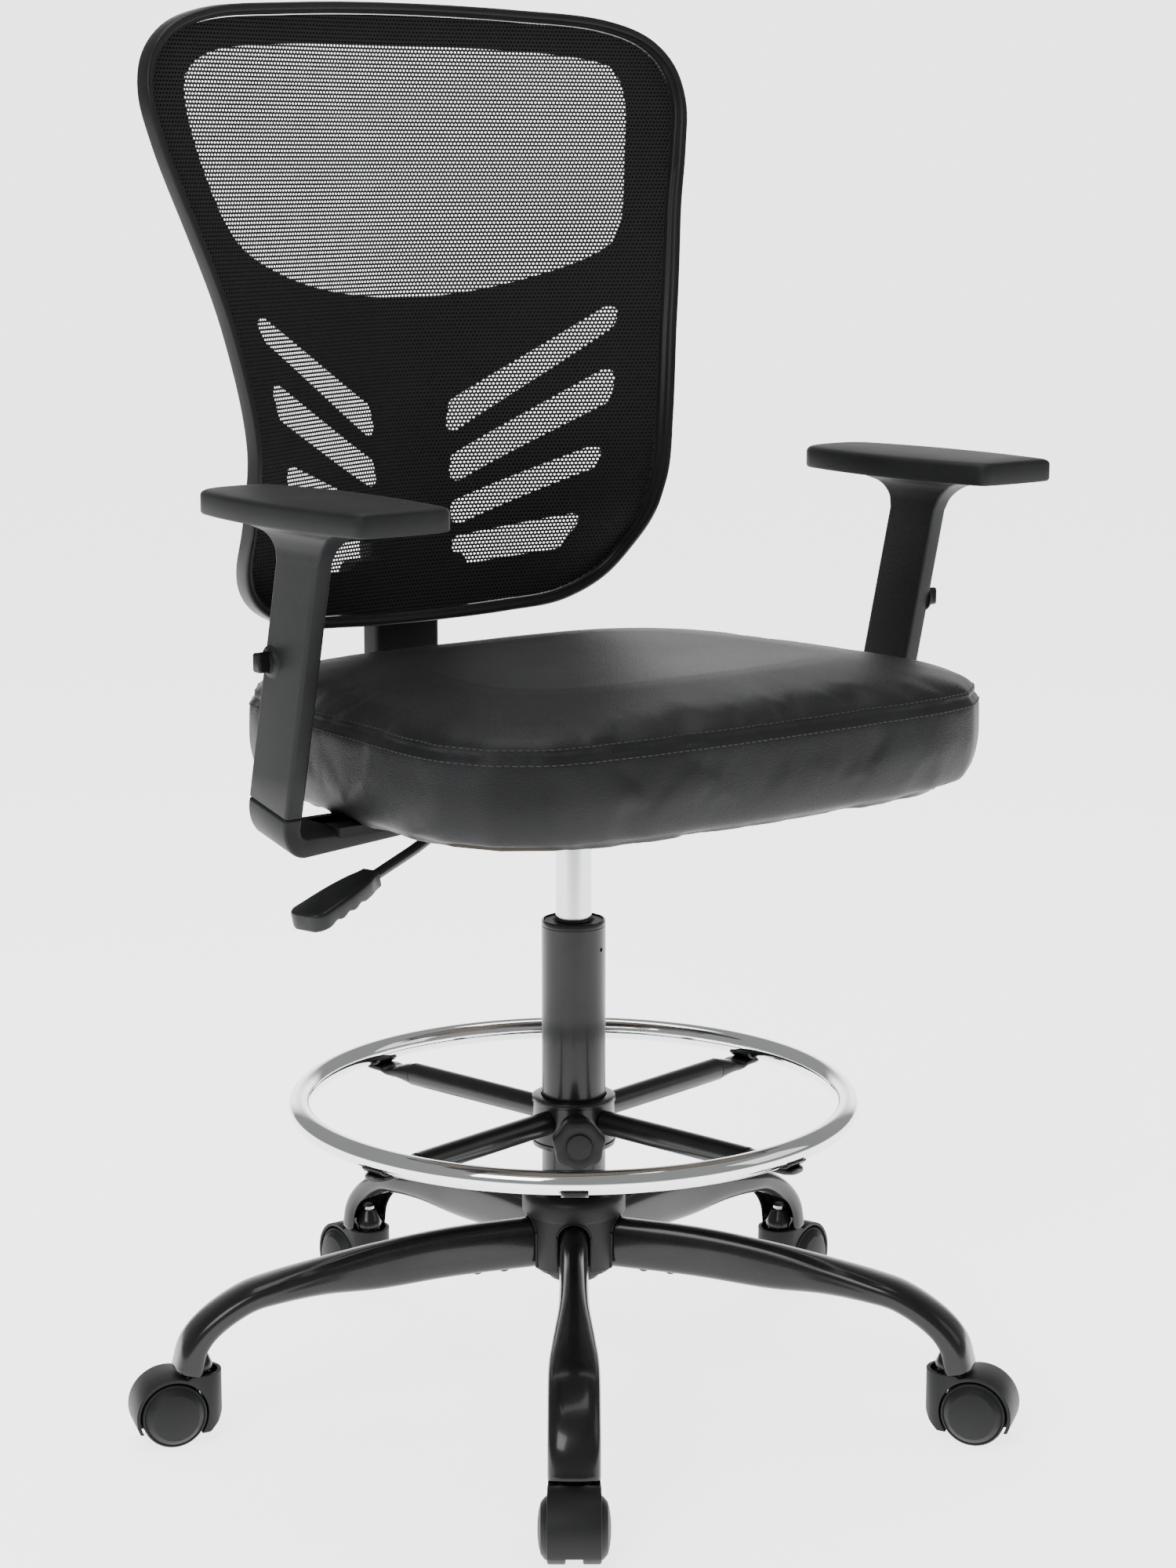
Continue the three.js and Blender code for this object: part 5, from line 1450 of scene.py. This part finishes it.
def cloth_x(x, z):
    """Distance along the curved cloth from its middle line, in mm."""
    steps = np.linspace(0, x, 17)
    heights = [back_y(s, z) for s in steps]
    return math.copysign(float(np.hypot(np.diff(steps), np.diff(heights)).sum()), x)


def mesh_layer(name, offset, rows):
    """The stretched cloth at one depth, with its stored places."""
    edge = inset_line(rim_line, MESH_INSET)
    centre = Vector((0, 850))
    flat_points = [centre.lerp(p, k / rows) for k in range(rows, 0, -1) for p in edge] + [centre]
    points = [at(p.x, back_y(p.x, p.y) + offset, p.y) for p in flat_points]
    size, faces = len(edge), []
    for row in range(rows - 1):
        for i in range(size):
            j = (i + 1) % size
            faces.append((row * size + i, row * size + j, (row + 1) * size + j, (row + 1) * size + i))
    faces += [((rows - 1) * size + i, (rows - 1) * size + (i + 1) % size, rows * size) for i in range(size)]
    mesh = bpy.data.meshes.new(name)
    mesh.from_pydata([tuple(p) for p in points], [], faces)
    made = bpy.data.objects.new(name, mesh)
    bpy.context.scene.collection.objects.link(made)
    weave = mesh.attributes.new("weave", "FLOAT_VECTOR", "POINT")
    weave.data.foreach_set("vector", np.array([(cloth_x(p.x, p.y), p.y, 0) for p in flat_points]).ravel())
    x, z = (np.array([p[k] for p in flat_points]) for k in (0, 1))
    distance = edge_distance(x, z, TOP_OPENING, 1.0)
    for slot in SLOTS:
        distance = np.minimum(distance, edge_distance(x, z, slot, 6.0))
    opening = mesh.attributes.new("opening", "FLOAT_VECTOR", "POINT")
    opening.data.foreach_set("vector", np.array([(d, 0, 0) for d in distance]).ravel())
    mesh.shade_smooth()
    return made


# %% [markdown]
# One formula draws the holes: the cloth is divided into cells, every second row is shifted by half a cell,
# and the distance from a cell's middle decides whether there is thread or a hole. The threads are rounded by
# a bump that falls off towards each hole.

# %% Weave materials
CELL_WIDE, CELL_HIGH = 3.3, 3.0


def hole_distance(finish):
    """0 at the middle of a hole, growing to the threads."""
    place = finish.place("weave")
    x = finish.node("ShaderNodeSeparateXYZ", {}, {0: place}, output=0)
    z = finish.node("ShaderNodeSeparateXYZ", {}, {0: place}, output=1)
    row = (z / CELL_HIGH).floor()
    shift = (row * 0.5).part()
    u = (x / CELL_WIDE + shift).part() - 0.5
    v = (z / CELL_HIGH).part() - 0.5
    return ((u * CELL_WIDE / 0.95) ** 2 + (v * CELL_HIGH / 0.78) ** 2) ** 0.5


def knit():
    finish = Finish("knitted_mesh", IOR=1.4, Specular_IOR_Level=0.25)
    hole = hole_distance(finish)
    finish.set(Alpha=hole.between(0.93, 1.07))
    finish.set(Base_Color=finish.color_mix(finish.noise(40.0, 3.0),
                                           (0.009, 0.0092, 0.0098), (0.013, 0.0133, 0.014)))
    finish.set(Roughness=finish.noise(60.0, 2.0) * 0.1 + 0.55)
    return finish.bump(hole.least(1.6), 0.35, 0.0006).material


def backing():
    finish = Finish("dense_backing", IOR=1.4, Specular_IOR_Level=0.2)
    away = finish.node("ShaderNodeSeparateXYZ", {}, {0: finish.place("opening")}, output=0)
    finish.set(Alpha=away.between(-0.4, 0.4))
    finish.set(Base_Color=finish.color_mix(finish.noise(50.0, 3.0),
                                           (0.005, 0.005, 0.0054), (0.008, 0.008, 0.0086)))
    finish.set(Roughness=finish.noise(60.0, 2.0) * 0.1 + 0.7)
    return finish.bump(finish.cells(900.0), 0.2, 0.0003).material


front_layer = mesh_layer("back_mesh_front", -0.7, 40)
rear_layer = mesh_layer("back_mesh_backing", 0.7, 96)
finish_piece(front_layer, "seat", knit(), "back_mesh", "back_mesh")
finish_piece(rear_layer, "seat", backing(), "back_mesh")
cloth_wide = max(cloth_x(x, z) for x, z in ((p.x, p.y) for p in rim_line)) * 2 * MM

# %% [markdown]
# The spine is a thick glass-filled bar. It runs back under the seat, bends up, and spreads into a plate that
# is screwed to the rim's lower rail.

# %% Spine
SPINE_HALF, SPINE_DEEP, SPINE_Y, SPINE_LEVEL, SPINE_BEND = 31.5, 11.0, 229.0, 484.0, 42.0
PLATE_LOW, PLATE_TOP, PLATE_HALF = 597.0, 650.0, 59.0


def spine_mesh():
    start = SPINE_Y - SPINE_BEND
    path = [Vector((y, SPINE_LEVEL)) for y in np.linspace(74.3, start, 8)]
    path += [Vector((start + SPINE_BEND * math.sin(a), SPINE_LEVEL + SPINE_BEND * (1 - math.cos(a))))
             for a in np.linspace(0.1, math.pi / 2, 14)]
    path += [Vector((SPINE_Y, z)) for z in (540, 575, 606)]
    path += [Vector((SPINE_Y + 9 * t, 612 + 78 * t)) for t in (0.15, 0.5, 1)]
    rings = []
    for i, here in enumerate(path):
        ahead = (path[min(i + 1, len(path) - 1)] - path[max(i - 1, 0)]).normalized()
        inset = 1.5 if i in (0, len(path) - 1) else 0.0
        rings.append([at(b, here.x + ahead.y * a, here.y - ahead.x * a)
                      for a, b in boxy(SPINE_DEEP - inset, SPINE_HALF - inset, 4.5)])
    bar = loft("bar", rings, 40)
    front = back_y(0, PLATE_TOP) + RIM_DEEP + 0.3
    outline = boxy(PLATE_HALF, (PLATE_TOP - PLATE_LOW) / 2, 12)
    plate = prism("plate", in_mm(outline), (SPINE_Y + 4 - front) * MM)
    bevel(plate, 1.6 * MM, 3, 50)
    lay = quarter("X")
    moved(plate, Matrix.Translation(at(0, SPINE_Y + 4, (PLATE_LOW + PLATE_TOP) / 2)) @ lay)
    lip_front = back_y(0, PLATE_LOW + 10) + RIM_DEEP + 0.3
    lip = prism("lip", in_mm(boxy(PLATE_HALF - 8, 6, 2.5)), (SPINE_Y - lip_front) * MM)
    moved(lip, Matrix.Translation(at(0, SPINE_Y, PLATE_LOW + 6)) @ lay)
    heads = []
    for x in (-44, 44):
        head = screw_head("plate_screw", 5 * MM, 2.6 * MM)
        facing_back = Matrix.Rotation(-math.pi / 2, 4, "X")
        heads.append(moved(head, Matrix.Translation(at(x, SPINE_Y + 4, 624)) @ facing_back))
    return joined("back_spine_bar", [bar, plate, lip]), joined("plate_screws", heads)


spine, plate_screws = spine_mesh()
finish_piece(spine, "seat", spine_plastic, "black_nylon", "back_spine")
finish_piece(plate_screws, "seat", bare_steel, "bare_steel")

# %% [markdown]
# ## Studio
#
# The chair stands on a plain pale floor in soft light from large panels, as in a product picture. The floor
# glows, which is painted light that lifts the chair's undersides: it is bright behind the chair, with painted
# shade in front of the camera and far to the sides. The camera looks down slightly from the chair's front left,
# with a long lens.

# %% Floor, lights and camera
LOOK = Vector((0.621, 0.784, 0))
BRIGHT, DIM = 3.2, 0.35


def studio_floor():
    made = add_object("floor", [(-9, -9, 0), (9, -9, 0), (9, 9, 0), (-9, 9, 0)], [(0, 1, 2, 3)])
    finish = Finish("glowing_pale_floor", Specular_IOR_Level=0.0, Emission_Strength=2.8)
    # Painted light: the floor's emission glows bright behind the chair and fades to painted shade in front of the
    # camera and far to the sides.
    here = [finish.node("ShaderNodeSeparateXYZ", {}, {0: finish.place()}, output=k) for k in (0, 1)]
    ahead = (here[0] * LOOK.x + here[1] * LOOK.y).between(-2.1, -1.1)
    aside = here[0] * LOOK.y - here[1] * LOOK.x
    floor_glow_mask = ahead * (1.0 - (aside * aside).between(6.5, 11.0))
    finish.set(Emission_Color=finish.color_mix(floor_glow_mask, (0.10, 0.10, 0.10), (1.0, 1.0, 1.0)))
    finish.set(Roughness=finish.noise(3.0) * 0.05 + 0.85)
    finish.set(Base_Color=finish.color_mix(finish.noise(0.6), (0.93, 0.93, 0.93), (0.95, 0.95, 0.95)))
    made.data.materials.append(finish.material)


def studio_backdrop():
    """A bright low backdrop behind the chair, and a dim room in front of it and overhead."""
    world = bpy.data.worlds.new("studio")
    bpy.context.scene.world = world
    world.use_nodes = True
    tree = world.node_tree
    way = tree.nodes.new("ShaderNodeTexCoord").outputs["Generated"]

    def share(vector, low, high):
        along = tree.nodes.new("ShaderNodeVectorMath")
        along.operation = "DOT_PRODUCT"
        along.inputs[1].default_value = vector
        tree.links.new(way, along.inputs[0])
        step = tree.nodes.new("ShaderNodeMapRange")
        step.interpolation_type = "SMOOTHSTEP"
        step.inputs["From Min"].default_value = low
        step.inputs["From Max"].default_value = high
        tree.links.new(along.outputs["Value"], step.inputs["Value"])
        return step.outputs["Result"]

    both = tree.nodes.new("ShaderNodeMath")
    both.operation = "MULTIPLY"
    tree.links.new(share(LOOK, 0.80, 0.93), both.inputs[0])
    tree.links.new(share((0, 0, -1), -0.45, -0.2), both.inputs[1])
    level = tree.nodes.new("ShaderNodeMath")
    level.operation = "MULTIPLY_ADD"
    level.inputs[1].default_value = BRIGHT - DIM
    level.inputs[2].default_value = DIM
    tree.links.new(both.outputs[0], level.inputs[0])
    tree.links.new(level.outputs[0], tree.nodes["Background"].inputs["Strength"])
    tree.nodes["Background"].inputs["Color"].default_value = (1, 1, 1, 1)


def panel_light(name, place, energy, size, target=(0, 0, 0.55)):
    light = bpy.data.lights.new(name, "AREA")
    light.energy = energy
    light.size = size
    made = bpy.data.objects.new(name, light)
    made.location = place
    made.rotation_euler = (Vector(target) - Vector(place)).to_track_quat("-Z", "Y").to_euler()
    bpy.context.scene.collection.objects.link(made)


studio_floor()
panel_light("key_panel", (-2.6, -1.2, 2.6), 75, 1.6)
panel_light("fill_panel", (2.6, -2.2, 2.0), 16, 2.0)
panel_light("top_panel", (0.2, 0.4, 3.4), 62, 2.2)
studio_backdrop()

camera = bpy.data.objects.new("camera", bpy.data.cameras.new("camera"))
bpy.context.scene.collection.objects.link(camera)
camera.data.sensor_fit = "VERTICAL"
camera.data.sensor_width = 36
camera.data.sensor_height = 36
camera.data.lens = 74.9
camera.location = (-1.527, -1.971, 0.966)
camera.rotation_euler = Vector((0.621, 0.784, -math.tan(0.1888))).to_track_quat("-Z", "Y").to_euler()
bpy.context.scene.camera = camera
